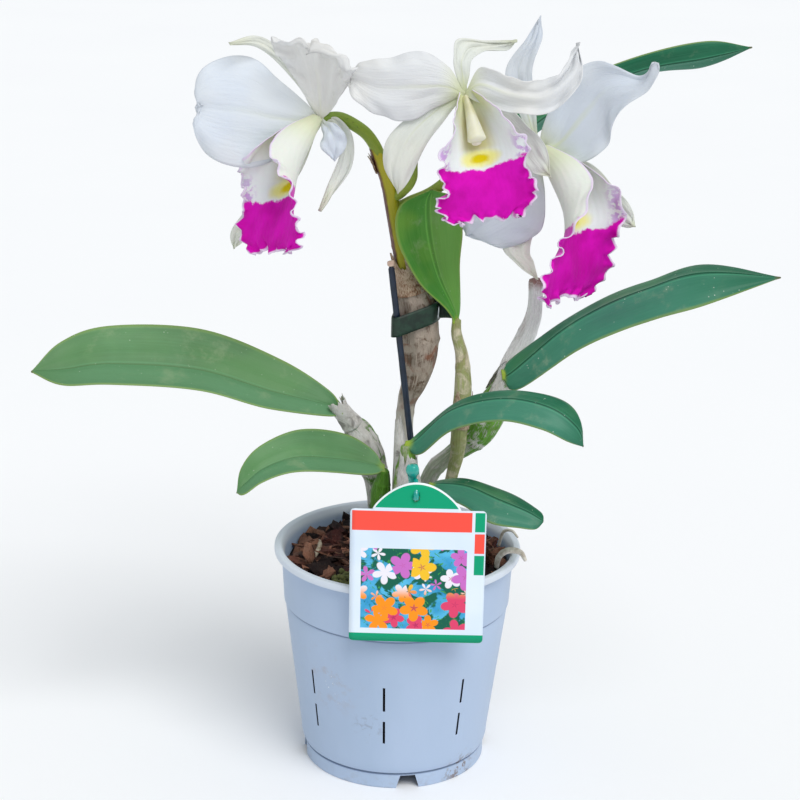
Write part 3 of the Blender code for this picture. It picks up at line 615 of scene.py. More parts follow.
# ---- sepals and petals, in the same form as the leaves
PETALS = {
    "flower_1_sepal_top": (
        ((-42, -8, 337), (-48, -6, 347), (-59, -8, 364), (-70, -12, 371)),
        ((-41, -8, 334), (-46, -5, 340), (-58, -6, 355), (-70, -10, 365)),
        (-82, -18, 368)),
    "flower_1_petal_upper": (
        ((-45, -13, 340), (-53, -17, 354), (-60, -23, 365), (-61, -28, 371)),
        ((-35, -12, 337), (-29, -17, 347), (-25, -26, 356), (-24, -33, 361)),
        (-44, -32, 370)),
    "flower_1_petal_fold": (
        ((-39, -15, 327), (-39, -18, 320)),
        ((-32, -17, 331), (-27, -17, 323)),
        (-33, -18, 314)),
    "flower_1_petal_left": (
        ((-47, -11, 340), (-62, -9, 352), (-75, -8, 361), (-91, -11, 359), (-98, -15, 347)),
        ((-47, -14, 323), (-61, -18, 314), (-77, -21, 311), (-93, -23, 317), (-98, -22, 329)),
        (-94, -19, 339)),
    "flower_1_sepal_right": (
        ((-32, -9, 333), (-25, -8, 323), (-26, -10, 308)),
        ((-36, -12, 329), (-31, -14, 321), (-34, -16, 307)),
        (-40, -18, 290)),
    "flower_1_sepal_left": (
        ((-57, -4, 311), (-77, 0, 285), (-84, 3, 274)),
        ((-50, 0, 306), (-66, 3, 283), (-77, 5, 271)),
        (-83, 6, 265)),
    "flower_2_sepal_top": (
        ((23, -23, 356), (21, -22, 364), (23, -17, 372), (36, -11, 371)),
        ((29, -22, 356), (30, -20, 363), (36, -14, 366), (47, -9, 367)),
        (51, -8, 371)),
    "flower_2_petal_left": (
        ((19, -26, 361), (6, -29, 368), (-10, -26, 364), (-23, -20, 360)),
        ((16, -26, 343), (1, -27, 336), (-13, -26, 338), (-24, -22, 347)),
        (-27, -17, 353)),
    "flower_2_petal_right": (
        ((34, -27, 361), (47, -31, 358), (61, -34, 356), (71, -32, 362)),
        ((33, -28, 345), (49, -32, 341), (66, -34, 342), (80, -31, 356)),
        (78, -27, 373)),
    "flower_2_sepal_left": (
        ((7, -23, 341), (-7, -25, 328), (-10, -26, 314)),
        ((19, -25, 337), (10, -28, 325), (3, -28, 309)),
        (-3, -26, 301)),
    "flower_2_sepal_right": (
        ((46, -19, 342), (58, -18, 332), (66, -17, 322)),
        ((36, -20, 335), (50, -17, 322), (59, -16, 311)),
        (69, -14, 308)),
    "flower_3_sepal_top": (
        ((52, 13, 338), (47, 14, 353), (56, 16, 368)),
        ((62, 12, 337), (60, 13, 354), (64, 16, 369)),
        (63, 19, 379)),
    "flower_3_petal_right": (
        ((66, 6, 330), (75, 3, 352), (91, 1, 361), (109, -4, 355)),
        ((82, 5, 311), (95, 1, 319), (98, -5, 335), (112, -11, 350)),
        (115, -14, 363)),
    "flower_3_petal_low": (
        ((55, 13, 311), (37, 17, 302), (25, 18, 286)),
        ((68, 6, 294), (66, 8, 276), (49, 12, 267)),
        (31, 16, 272)),
    "flower_3_sepal_down": (
        ((53, 17, 289), (48, 14, 269), (56, 10, 259)),
        ((67, 17, 288), (62, 12, 268), (64, 9, 261)),
        (66, 5, 253)),
    "flower_3_sepal_right": (
        ((89, 12, 310), (103, 10, 297), (111, 6, 288)),
        ((83, 15, 296), (96, 12, 284), (106, 7, 280)),
        (112, 3, 281)),
}
# ripple height in mm, ripples along an edge, and pleats across, where a petal isn't calm
RUFFLES = {
    "flower_1_petal_upper": (2.2, 4.5, 5.0), "flower_1_petal_left": (1.1, 2.5, 1.5),
    "flower_2_petal_left": (1.3, 3.0, 1.5), "flower_2_petal_right": (1.5, 3.5, 2.0),
    "flower_3_petal_right": (1.2, 2.5, 1.5), "flower_3_petal_low": (0.8, 3.0, 2.0),
}


def build_petals():
    # two copies of one white: the bluish one painted as in shade, the other lighter as if lit
    petal = petal_finish("petal_blue_shaded_white", BLUE_SHADED_WHITE, CREAM)
    warm = petal_finish("petal_lit_white", srgb(219, 221, 224), CREAM)
    sepal = petal_finish("sepal_white", srgb(216, 220, 214), srgb(186, 194, 138), veins=12,
                         tip=srgb(200, 206, 160))
    for index, (name, rails) in enumerate(PETALS.items()):
        height, count, pleats = RUFFLES.get(name, (0.5, 1.5, 0.0))
        seed = Vector((3.1 * index, 7.7, 1.3))

        def ripple(side, t):
            reach = ease(abs(side), 0.35, 1.0) * ease(t, 0.10, 0.55)
            reach = max(reach, ease(t, 0.80, 1.0))
            turn = FULL_TURN * count * (t + 0.12 * side) + (1.3 if side > 0 else 0.0)
            fold = math.sin(turn) + 0.5 * math.sin(2.3 * turn + 1.0)
            pleat = math.sin(math.pi * pleats * side + 0.6) * ease(t, 0.15, 0.9) * (0.6 + 0.4 * side)
            crumple = noise.noise(Vector((side * 2.2, t * 4.5, 0)) + seed) * 1.5
            return height * (reach * fold * 0.8 + pleat) + crumple * ease(t, 0.05, 0.3)

        # petals in the light take the lighter copy; the other petals and flower_3_sepal_top take the bluish
        # painted shade
        if name.startswith("flower_2_petal") or name == "flower_1_petal_upper":
            finish = warm
        else:
            finish = petal if "petal" in name or name == "flower_3_sepal_top" else sepal
        place = blade_place((CENTRES[name[:8]], *rails), 1.6, 0.18, keel=-0.05)
        stands_for = (name,) if name != "flower_1_petal_fold" else ()
        sheet = piece(name + "_sheet", surface(place, 36, 64, ripple), (finish,), "petal", *stands_for)
        thicken(sheet, 0.9, 0.4)


# ---- lips and columns
# where each flower's parts meet
CENTRES = {"flower_1": (-40, -11, 332), "flower_2": (27, -23, 347.5), "flower_3": (64, 8, 316)}
# axis of the tube, side where its edges meet, size, how far it closes, how much it flares,
# how far the front lobe hangs, and how much later its colour starts on the first side
LIPS = {
    "flower_1": ((-0.60, -0.56, -0.56), (-0.545, -0.23, 0.81), 1.0, 1.0, 0.10, 0.62, 0.16),
    "flower_2": ((0.27, -0.69, -0.67), (0.02, -0.69, 0.73), 0.87, 0.78, 0.42, 0.95, 0.0),
    "flower_3": ((0.64, -0.54, -0.56), (0.54, -0.26, 0.80), 1.08, 1.0, 0.10, 1.05, 0.0),
}
# rows along the lip: distance, depth of its floor, half its width laid flat, turn of its sides
LIP_ROWS = (
    (0, 0, 8, 185),
    (12, -4, 22, 185),
    (24, -8, 28, 158),
    (33, -12, 28, 94),
    (40, -18, 24, 46),
    (46, -25, 27, 22),
    (51, -33, 26, 12),
    (54, -40, 15, 6),
)
LIP_MOUTH = 3                        # row where the tube opens
LIP_CROSS, LIP_LONG = 96, 110        # faces across and along the sheet
COLUMN_LENGTH, CAP_RADIUS = 30, 2.5


def lip_frame(flower):
    """Where the tube starts, its three directions, the third along it, and its size."""
    axis, open_side = (Vector(v) for v in LIPS[flower][:2])
    z = axis.normalized()
    y = (open_side - open_side.dot(z) * z).normalized()
    return Vector(CENTRES[flower]), y.cross(z), y, z, LIPS[flower][2]


def build_lip(flower, index, inside, outside):
    """Lip: a sheet curled into a tube that opens into a hanging, frilled lobe."""
    base, x, y, z, size = lip_frame(flower)
    closing, flare, hang, late = LIPS[flower][3:]
    mouth_far, mouth_low = LIP_ROWS[LIP_MOUTH][:2]
    floor_line = []
    for far, low, _, _ in LIP_ROWS:
        if far > mouth_far:
            far = mouth_far + (far - mouth_far) * (1 + 0.7 * (1 - hang))
            low = mouth_low + (low - mouth_low) * hang
        floor_line.append((0, low, far))
    halves = [row[2] for row in LIP_ROWS]
    turns = [row[3] for row in LIP_ROWS]
    steps = LIP_CROSS // 2
    seed = Vector((5.3 * index, 2.0, 9.1))

    @cache
    def row(t):
        """Floor point, direction ahead, upward direction and the way from the floor to the edge."""
        ahead = (along(floor_line, min(t + 0.02, 1)) - along(floor_line, max(t - 0.02, 0))).normalized()
        half = value_along(halves, t) * size
        turn = math.radians(value_along(turns, t) * closing)
        way = [(0.0, 0.0)]
        for k in range(steps):
            s = (k + 0.5) / steps
            heading = turn * (s - flare * s ** 4)
            way.append((way[-1][0] + half / steps * math.cos(heading),
                        way[-1][1] + half / steps * math.sin(heading)))
        return along(floor_line, t) * size, ahead, Vector((0, ahead.z, -ahead.y)), way

    def place(side, t):
        spot, ahead, up, way = row(t)
        out, rise = way[round(abs(side) * steps)]
        ragged = ease(t, 0.80, 1.0) * noise.noise(Vector((side * 4.5, 3.3, 0)) + seed) * 5.0
        notch = 1 + ease(abs(side), 0.7, 1.0) * noise.noise(Vector((side, t * 22, 8)) + seed) * 0.16
        local = Vector((math.copysign(out * notch, side), 0, 0)) + spot + up * rise + ahead * ragged
        return base + x * local.x + y * local.y + z * local.z

    def ripple(side, t):
        flank = ease(abs(side), 0.72, 1.0) * ease(t, 0.22, 0.40)
        end = ease(t, 0.84, 1.0)
        tight = (math.sin(60 * t + 3 * side + index) * flank
                 + math.sin(15 * side + 1.7 * index) * end * 0.9)
        fine = noise.noise(Vector((side * 6, t * 13, 0)) + seed) * (2.4 - 1.2 * end)
        swell = noise.noise(Vector((side * 2, t * 4, 4.0)) + seed) * 1.6
        return max(flank, end) * (tight * 1.8 + fine) + swell * ease(t, 0.2, 0.6)

    shape = surface(place, LIP_CROSS, LIP_LONG, ripple)
    lip = piece(flower + "_lip_frilled", shape, (outside, inside), "lip", flower + "_lip")
    for loop in lip.data.uv_layers["UVMap"].data:
        first_side = max(1 - 2 * loop.uv.x, 0.0)
        loop.uv.y -= late * first_side * 4 * loop.uv.y * (1 - loop.uv.y)
    thicken(lip, 0.8, 0.45, under=1)


def build_column(flower, finish, cap):
    """Flat, widening column with a hooded end over the stigma's hollow."""
    base, x, y, z, size = lip_frame(flower)
    start, end = base + z, base + (z * COLUMN_LENGTH - y * 1.5 - x) * size
    name = flower + "_column"

    def place(side, t):
        angle = math.pi * side
        close = math.sqrt(1 - ease(t, 0.95, 1.0) ** 2) * math.sqrt(1 - ease(t, 0.04, 0.0) ** 2)
        wide = (1.7 + 3.6 * t ** 1.4) * size * close
        deep = (1.7 + 1.3 * t) * size * close
        under = max(-math.cos(angle), 0.0) * ease(t, 0.60, 0.85) * ease(t, 1.0, 0.92) * 1.8
        keel = 0.7 * max(math.cos(angle), 0.0) ** 3 * close
        centre = start.lerp(end, t) + y * 1.2 * math.sin(math.pi * t)
        return centre + x * math.sin(angle) * wide + y * math.cos(angle) * (deep - under + keel)

    piece(name + "_club", surface(place, 40, 44, closed=True), (finish,), "column", name)

    bm = bmesh.new()
    bmesh.ops.create_uvsphere(bm, u_segments=20, v_segments=12, radius=CAP_RADIUS * size)
    turn = Matrix((x, y, z)).transposed().to_4x4()
    bmesh.ops.scale(bm, vec=(1.1, 0.7, 0.6), verts=bm.verts[:])
    bmesh.ops.transform(bm, matrix=Matrix.Translation(end - z - y * 2) @ turn, verts=bm.verts[:])
    piece(name + "_cap", to_metres(bm), (cap,), "column")


def build_lips():
    inside = lip_finish("lip_inside", True)
    outside = lip_finish("lip_outside", False)
    club = plain_finish("column_wax", srgb(222, 220, 200), srgb(208, 203, 164), 0.5, 90,
                        translucent(0.2, (0.003, 0.003, 0.001)))
    cap = plain_finish("anther_cap", srgb(222, 216, 204), srgb(212, 202, 184), 0.45, 300)
    for index, flower in enumerate(LIPS):
        build_lip(flower, index, inside, outside)
        build_column(flower, club, cap)


# ---- stems and bulbs: points along the middle, and radius at each
STEMS = {
    "bulb_left_long": (
        ((-29.5, 7.5, 181), (-27.5, 9, 177), (-21, 12, 170), (-16, 15, 157), (-12, 17, 143),
         (-11, 18, 123)),
        (2.6, 4.0, 6.5, 7.5, 6.0, 4.5)),
    "bulb_left_low": (
        ((-7.5, -2, 155), (-8, -1, 149), (-9, 0, 142), (-9, 1, 130), (-9, 2, 114)),
        (2.4, 3.6, 4.8, 4.6, 4.0)),
    "bulb_tied": (
        ((1, 9, 251), (5, 9, 243), (8, 10, 229), (9, 10, 215), (7, 10, 199), (3, 10, 186), (2, 10, 170),
         (2, 10, 150), (1, 10, 124)),
        (5.0, 8.3, 9.4, 8.8, 6.8, 4.5, 4.6, 5.0, 4.6)),
    "bulb_slender": (
        ((27, 4, 233), (27, 4, 225), (30, 4, 213), (31, 4, 197), (30, 4, 180), (29, 4, 162), (26, 4, 146),
         (23, 4, 126)),
        (2.0, 2.6, 3.2, 4.3, 4.2, 3.6, 3.0, 3.4)),
    "bulb_front_short": (
        ((3.5, -12, 172), (4, -12, 165), (4, -11, 156), (4, -10, 145), (5, -9, 130), (6, -8, 114)),
        (2.6, 4.0, 5.6, 6.2, 5.6, 4.6)),
    "bulb_right_old": (
        ((54, 5, 203), (50, 9, 196), (47, 10, 189), (44, 12, 180), (40, 14, 170), (34, 16, 163),
         (26, 18, 156), (18, 19, 148), (13, 19, 136), (11, 19, 124)),
        (3.0, 4.6, 6.6, 8.4, 7.4, 5.4, 4.4, 4.2, 4.2, 4.0)),
    "bulb_small": (
        ((15, -20, 153), (15, -19, 147), (16, -16, 138), (17, -12, 126), (18, -10, 114)),
        (2.0, 3.0, 4.0, 4.4, 4.0)),
    "dry_stem_right": (
        ((66, 18, 251), (66, 18, 239), (65, 18, 229), (60, 18, 216), (54, 15, 206), (51, 11, 198)),
        (3.4, 3.3, 4.0, 4.8, 4.4, 4.0)),
    "rhizome": (
        ((-20, 16, 117), (-6, 14, 117.5), (8, 15, 117.5), (20, 12, 117.5), (30, 4, 116.5)),
        (3.6, 4.6, 4.8, 4.6, 3.4)),
    "flower_spike": (
        ((1, 9, 248), (0, 8, 257), (-2, 8, 268), (-5, 6, 283), (-8, 4, 299), (-12, 2.4, 311),
         (-15.5, 0.6, 318.5)),
        (3.8, 3.8, 3.7, 3.4, 3.5, 3.4, 2.4)),
    "pedicel_1": (
        ((-12, 2.5, 312), (-15, 0.5, 319), (-20, -2, 325.5), (-28, -5, 331), (-34, -7, 333),
         (-40, -10, 332)),
        (3.0, 2.9, 2.9, 2.9, 2.6, 2.2)),
    "pedicel_2": (
        ((-7, 5, 291), (-1, 3.5, 296.5), (3, 1, 303), (4, -5, 316), (12, -13, 334), (26, -20, 347)),
        (2.6, 3.0, 3.0, 2.8, 2.6, 2.2)),
    "pedicel_3": (
        ((-6, 6, 286), (2, 8.5, 289.5), (16, 12, 296), (36, 19, 312), (54, 20, 319), (63, 11, 316)),
        (2.6, 2.6, 2.7, 2.7, 2.7, 2.2)),
    "root_over_rim": (
        ((50, -18, 109.5), (51, -20.5, 116.5), (55, -24, 121.5), (61, -26, 121.5), (64, -29, 118)),
        (1.3, 1.5, 1.6, 1.4, 0.8)),
    "root_curled": (
        ((52, 12, 109), (54, 9, 118), (58, 4, 121), (61, -3, 120)),
        (0.8, 0.8, 0.7, 0.5)),
    "stake": (
        ((-6, -4, 262), (0, -3.1, 215), (6, -2.2, 168), (13, -1.2, 113.5)),
        (1.6, 1.6, 1.6, 1.6)),
}
# ribs round a stem, their height as a share of its radius, and joints along it
RIBBED = {
    "bulb_left_long": (9, 0.06, 3), "bulb_left_low": (9, 0.07, 2), "bulb_tied": (7, 0.05, 2),
    "bulb_slender": (8, 0.02, 2), "bulb_front_short": (9, 0.07, 2), "bulb_right_old": (9, 0.08, 3),
    "bulb_small": (8, 0.06, 2), "dry_stem_right": (6, 0.09, 1), "rhizome": (5, 0.05, 6),
    "flower_spike": (5, 0.05, 2), "root_over_rim": (3, 0.06, 0), "root_curled": (3, 0.06, 0),
}
LEAST_RADIUS = 0.3
JOINT_SWELL, JOINT_LONG = 0.07, 1.1  # how far a joint stands out, as a share, and its length


def frame_along(points, radii):
    """Function of t along a bent stem: its centre, two directions across it and its radius."""
    @cache
    def row(t):
        tangent = (along(points, min(t + 0.01, 1)) - along(points, max(t - 0.01, 0))).normalized()
        side = tangent.cross(Vector((0, 1, 0.05))).normalized()
        return along(points, t), side, tangent.cross(side), value_along(radii, t)

    return row


def on_ring(centre, across, other, angle, radius):
    """Point at an angle round a centre, in the plane of two directions."""
    return centre + (across * math.cos(angle) + other * math.sin(angle)) * radius


def stem(points, radii, ribs=(0, 0.0, 0), around=32, long=48, seed=0.0):
    """Round stem with domed ends, ribs, joints and a little unevenness."""
    rib_count, rib_height, joints = ribs
    length = sum((Vector(b) - Vector(a)).length for a, b in zip(points, points[1:]))
    row = frame_along(points, radii)

    def place(side, t):
        centre, across, other, radius = row(t)
        radius = max(radius, LEAST_RADIUS)
        angle = math.pi * side
        cap = min(radius / length, 0.3)
        from_end = min(t, 1 - t)
        if from_end < cap:
            radius *= math.sqrt(max(1 - (1 - from_end / cap) ** 4, 0.0))
        lump = noise.noise(Vector((math.cos(angle) + seed, math.sin(angle), t * length / 9)))
        swell = 1 + rib_height * math.cos(rib_count * angle + 2 * t) + 0.07 * lump
        if joints and 0.1 < t < 0.9:
            ring = abs(t * (joints + 1) - round(t * (joints + 1))) * length / (joints + 1)
            swell += JOINT_SWELL * math.exp(-(ring / JOINT_LONG) ** 2)
        return on_ring(centre, across, other, angle, radius * swell)

    return surface(place, around, long, closed=True)


# finish, flesh, papery skin and its share, blotches and their strength, then foot and crown if any
BULB_LOOKS = {
    "bulb_left_long": ("bulb_silver_skin", srgb(96, 146, 52), srgb(212, 210, 204), 0.5),
    "bulb_left_low": ("bulb_green_low", srgb(84, 138, 36), SILVER, 0.22),
    "bulb_tied": ("bulb_papery", srgb(112, 90, 72), srgb(176, 162, 148), 0.56, srgb(132, 76, 48), 0.75,
                  srgb(208, 206, 196)),
    "bulb_slender": ("bulb_pale_green", srgb(172, 180, 116), srgb(224, 216, 184), 0.45,
                     srgb(140, 96, 68), 0.2),
    "bulb_front_short": ("bulb_netted", srgb(118, 168, 54), srgb(214, 212, 192), 0.36),
    "bulb_right_old": ("bulb_old_green", srgb(104, 168, 48), srgb(228, 228, 222), 0.42, BROWN, 0.25,
                       srgb(222, 219, 216)),
    "bulb_small": ("bulb_green_small", srgb(92, 142, 48), SILVER, 0.3),
    "dry_stem_right": ("stem_bleached", srgb(222, 218, 212), srgb(242, 242, 242), 0.7,
                       srgb(120, 72, 58), 0.3, None, srgb(134, 78, 66)),
    "rhizome": ("rhizome_skin", srgb(112, 100, 84), srgb(166, 160, 150), 0.5),
}


def build_stems():
    finishes = {node: bulb_finish(*look) for node, look in BULB_LOOKS.items()}
    finishes["flower_spike"] = stem_finish("spike_green_rust", srgb(158, 158, 12), srgb(178, 170, 24),
                                           dry=srgb(84, 32, 26))
    finishes["stake"] = plain_finish("stake_navy", srgb(10, 26, 46), srgb(20, 38, 60), 0.36, 200)
    pedicel = stem_finish("pedicel_green", srgb(144, 160, 46), srgb(102, 138, 40))
    root = plain_finish("root_velvet", srgb(222, 217, 208), srgb(184, 174, 160), 0.85, 350, depth=0.0006)
    slots = {"bulb_tied": "dry_sheath", "dry_stem_right": "dry_sheath", "rhizome": "dry_sheath",
             "flower_spike": "spike_green", "stake": "stake_plastic"}
    wood = plain_finish("stake_cut_end", srgb(222, 198, 180), srgb(196, 166, 148), 0.8, 400)
    stake_top = Vector(STEMS["stake"][0][0])
    cut_end = [stake_top + Vector(off) for off in ((0.2, 0, -1.8), (0, 0, 0.4), (-0.1, 0, 1.0))]
    piece("stake_cut_end", stem(cut_end, (1.75, 1.75, 1.6), around=20, long=16), (wood,), "stake_plastic")
    for index, (name, (points, radii)) in enumerate(STEMS.items()):
        if name.startswith("pedicel"):
            finish, slot = pedicel, "spike_green"
        elif name.startswith("root"):
            finish, slot = root, "root"
        else:
            finish, slot = finishes[name], slots.get(name, "bulb")
        grown = stem(points, radii, RIBBED.get(name, (0, 0.0, 0)), seed=index * 3.7)
        piece(name + "_grown", grown, (finish,), slot, name)


# ---- pot: lengths in mm, turns in degrees from the front
POT_HEIGHT, RIM_RADIUS, RIM_BAND, RIM_FLANGE, WALL = 114.6, 62.5, 3.6, 3.5, 1.6
LEDGE_HEIGHT, LEDGE_STEP, LEDGE_RADIUS, UNDER_RIM_RADIUS = 85.4, 0.5, 57.0, 58.9
LOW_RADIUS, LOW_HEIGHT, BODY_RADIUS = 48.4, 16.0, 47.1
FLOOR_ROUND, FOOT_HEIGHT, FOOT_RADIUS, FOOT_WALL = 4.0, 8.0, 46.6, 2.2
SLIT_COLUMNS, SLIT_TURN, SLIT_WIDTH = 8, -5.0, 1.2
SLITS = ((45.4, 59.0), (26.6, 39.4))
NOTCHES, NOTCH_TURN, NOTCH_TOP, NOTCH_FOOT = 4, 9.8, 7.5, 13.0
POT_STEPS, SHARP_FROM = 160, 38
BARK_EDGE, BARK_CROWN = 104.5, 111.5
# chips that stand for the CAD's: centre, size, and turn and lean in radians
BARK_CHIPS = (
    ((-44, -15, 113), (12, 7, 3), 1.2, 1.25),
    ((-36, -27, 110.5), (13, 9, 3), 0.9, 0.5),
    ((-22, -37, 110.5), (14, 9, 3), -0.5, 0.35),
    ((-30, 20, 112), (15, 9, 4), 2.2, 0.9),
    ((43, -8, 113), (12, 8, 3), 1.9, 1.1),
    ((36, -28, 111), (14, 9, 4), 0.9, 0.6),
)


def wall_radius(z):
    """Outside of the wall at a height."""
    if z >= LEDGE_HEIGHT:
        rise = (z - LEDGE_HEIGHT) / (POT_HEIGHT - RIM_BAND - LEDGE_HEIGHT)
        return LEDGE_RADIUS + LEDGE_STEP + rise * (UNDER_RIM_RADIUS - LEDGE_RADIUS - LEDGE_STEP)
    return LOW_RADIUS + (z - LOW_HEIGHT) / (LEDGE_HEIGHT - LOW_HEIGHT) * (LEDGE_RADIUS - LOW_RADIUS)


def inner_radius(z):
    """Inside of the wall at a height."""
    low, under_rim = LOW_HEIGHT + WALL, POT_HEIGHT - RIM_BAND
    return LOW_RADIUS - WALL + (z - low) / (under_rim - low) * (wall_radius(under_rim) - LOW_RADIUS)


def turned(profile, steps):
    """bmesh of the profile spun about Z; points are (radius, height) in mm."""
    bm = bmesh.new()
    verts = [bm.verts.new((r * MM, 0, z * MM)) for r, z in profile]
    edges = [bm.edges.new(pair) for pair in zip(verts, verts[1:])]
    bmesh.ops.spin(bm, geom=verts + edges, cent=(0, 0, 0), axis=(0, 0, 1), angle=2 * math.pi,
                   steps=steps, use_merge=True)
    bmesh.ops.remove_doubles(bm, verts=bm.verts[:], dist=0.000004)
    bmesh.ops.recalc_face_normals(bm, faces=bm.faces[:])
    return bm


def turned_block(bm, centre, size, angle, top_scale=1.0):
    """Block on the X axis, narrower at its top if asked, turned about Z by an angle."""
    for vert in bmesh.ops.create_cube(bm, size=1.0)["verts"]:
        narrow = top_scale if vert.co.z > 0 else 1.0
        spot = Vector((centre[0] + vert.co.x * size[0], centre[1] + vert.co.y * size[1] * narrow,
                       centre[2] + vert.co.z * size[2]))
        vert.co = Matrix.Rotation(angle, 3, "Z") @ spot * MM


def carve(obj, bm, name, shade=None):
    """Cut the bmesh's blocks out of the object's mesh for good; the cut takes the shade."""
    cutter = added(name, mesh_from(bm, name, smooth=False))
    if shade:
        cutter.data.materials.append(shade)
    boolean = obj.modifiers.new(name, "BOOLEAN")
    boolean.object = cutter
    boolean.solver = "EXACT"
    boolean.material_mode = "TRANSFER" if shade else "INDEX"
    bpy.context.view_layer.update()
    cut = bpy.data.meshes.new_from_object(obj.evaluated_get(bpy.context.evaluated_depsgraph_get()))
    obj.modifiers.remove(boolean)
    obj.data = cut
    bpy.data.objects.remove(cutter, do_unlink=True)


def build_pot():
    under_rim = POT_HEIGHT - RIM_BAND
    rim_in, roll = RIM_RADIUS - RIM_FLANGE, 1.0
    profile = [(0, FOOT_HEIGHT + WALL), (LOW_RADIUS - WALL - FLOOR_ROUND, FOOT_HEIGHT + WALL)]
    for i in range(1, 5):
        angle = math.pi / 2 * i / 4
        reach = LOW_HEIGHT - FOOT_HEIGHT
        profile.append((LOW_RADIUS - WALL - FLOOR_ROUND * (1 - math.sin(angle)),
                        FOOT_HEIGHT + WALL + reach * (1 - math.cos(angle))))
    profile += [(inner_radius(60), 60), (inner_radius(under_rim), under_rim),
                (rim_in - 0.2, POT_HEIGHT - 0.5), (rim_in + 0.4, POT_HEIGHT - 0.1),
                (rim_in + 1.4, POT_HEIGHT)]
    for i in range(7):
        angle = math.pi / 2 * (1 - i / 6)
        profile.append((RIM_RADIUS - roll + roll * math.cos(angle),
                        POT_HEIGHT - roll + roll * math.sin(angle)))
    profile += [(RIM_RADIUS + 0.1, POT_HEIGHT - 2.2), (RIM_RADIUS - 0.1, under_rim + 0.3),
                (RIM_RADIUS - 0.5, under_rim), (wall_radius(under_rim) + 0.5, under_rim),
                (wall_radius(under_rim - 0.6), under_rim - 0.6), (wall_radius(98), 98),
                (wall_radius(LEDGE_HEIGHT + 0.9), LEDGE_HEIGHT + 0.9),
                (wall_radius(LEDGE_HEIGHT), LEDGE_HEIGHT + 0.4),
                (wall_radius(LEDGE_HEIGHT) - 0.4, LEDGE_HEIGHT), (LEDGE_RADIUS - 0.7, LEDGE_HEIGHT - 0.2),
                (LEDGE_RADIUS - 0.4, LEDGE_HEIGHT - 0.8), (wall_radius(84.0), 84.0),
                (wall_radius(62), 62), (wall_radius(38), 38), (LOW_RADIUS, LOW_HEIGHT),
                (LOW_RADIUS - 0.25, 12.5), (BODY_RADIUS + 0.5, 10.2), (BODY_RADIUS, FOOT_HEIGHT + 0.9),
                (FOOT_RADIUS - 1.0, FOOT_HEIGHT + 0.3), (FOOT_RADIUS - 1.0, FOOT_HEIGHT - 0.3),
                (FOOT_RADIUS - 0.1, FOOT_HEIGHT - 0.8), (FOOT_RADIUS, 0.5), (FOOT_RADIUS - 0.4, 0),
                (FOOT_RADIUS - FOOT_WALL + 0.4, 0), (FOOT_RADIUS - FOOT_WALL, 0.5),
                (FOOT_RADIUS - FOOT_WALL, FOOT_HEIGHT), (0, FOOT_HEIGHT)]
    pot = piece("pot_moulded", turned(profile, POT_STEPS), (pot_finish(),), "pot_plastic", "pot")

    bm = bmesh.new()
    for i in range(SLIT_COLUMNS):
        angle = math.radians(-90 + SLIT_TURN + 360 / SLIT_COLUMNS * i)
        for low, high in SLITS:
            middle = (low + high) / 2
            turned_block(bm, (wall_radius(middle), 0, middle), (8, SLIT_WIDTH, high - low), angle)
    # The slit walls take a dark navy material: painted shade, the dark of the pot's inside seen through the
    # slits.
    carve(pot, bm, "slits", plain_finish("slit_painted_shade", srgb(30, 38, 58), srgb(18, 24, 40), 0.6))
    bm = bmesh.new()
    for i in range(NOTCHES):
        angle = math.radians(-90 + NOTCH_TURN + 360 / NOTCHES * i)
        turned_block(bm, (FOOT_RADIUS, 0, 2.6), (10, NOTCH_FOOT, 9.0), angle, NOTCH_TOP / NOTCH_FOOT)
    carve(pot, bm, "foot_notches")
    pot.data.set_sharp_from_angle(angle=math.radians(SHARP_FROM))


# ---- bark
CHIPS, SLIVERS, BITS, MOSS_LUMPS = 600, 110, 16, 90
CHIP_REACH, WALL_REACH = 54, 55.5    # farthest chip's middle and end from the pot's axis
LITTER_REACH = 50
BED_TOP, BED_SINK = 0.108, 0.0008    # the heap's points lie above the first, in metres
CHIP_WEAR = 0.0004


def heap_height(x, y):
    """Uneven top of the bark, in mm."""
    share = min(math.hypot(x, y) / inner_radius(BARK_EDGE), 1.0)
    bumps = noise.noise(Vector((x / 11, y / 11, 0.5))) * 2.2 + noise.noise(Vector((x / 4, y / 4, 2))) * 0.9
    return BARK_CROWN + (BARK_EDGE - BARK_CROWN) * share ** 2 + bumps


def chip(bm, rng, block, centre, size, turn, lean, tone, layer):
    """One flake of bark: a copy of the plain block, tapered, made uneven and laid in place."""
    copied = bmesh.ops.duplicate(bm, geom=block)["geom"]
    taper = rng.uniform(-0.45, 0.45)
    matrix = (Matrix.Translation(centre) @ Matrix.Rotation(turn, 4, "Z") @ Matrix.Rotation(lean, 4, "X")
              @ Matrix.Rotation(rng.uniform(-0.4, 0.4), 4, "Y"))
    for vert in copied:
        if isinstance(vert, bmesh.types.BMVert):
            rough = Vector((rng.uniform(-1, 1), rng.uniform(-1, 1), rng.uniform(-1, 1))) * 0.15
            shape = vert.co + rough
            shape.y *= 1 + taper * shape.x * 2
            vert[layer] = tone
            vert.co = matrix @ Vector((shape.x * size[0], shape.y * size[1], shape.z * size[2]))


def polar(radius, angle):
    return radius * math.cos(angle), radius * math.sin(angle)


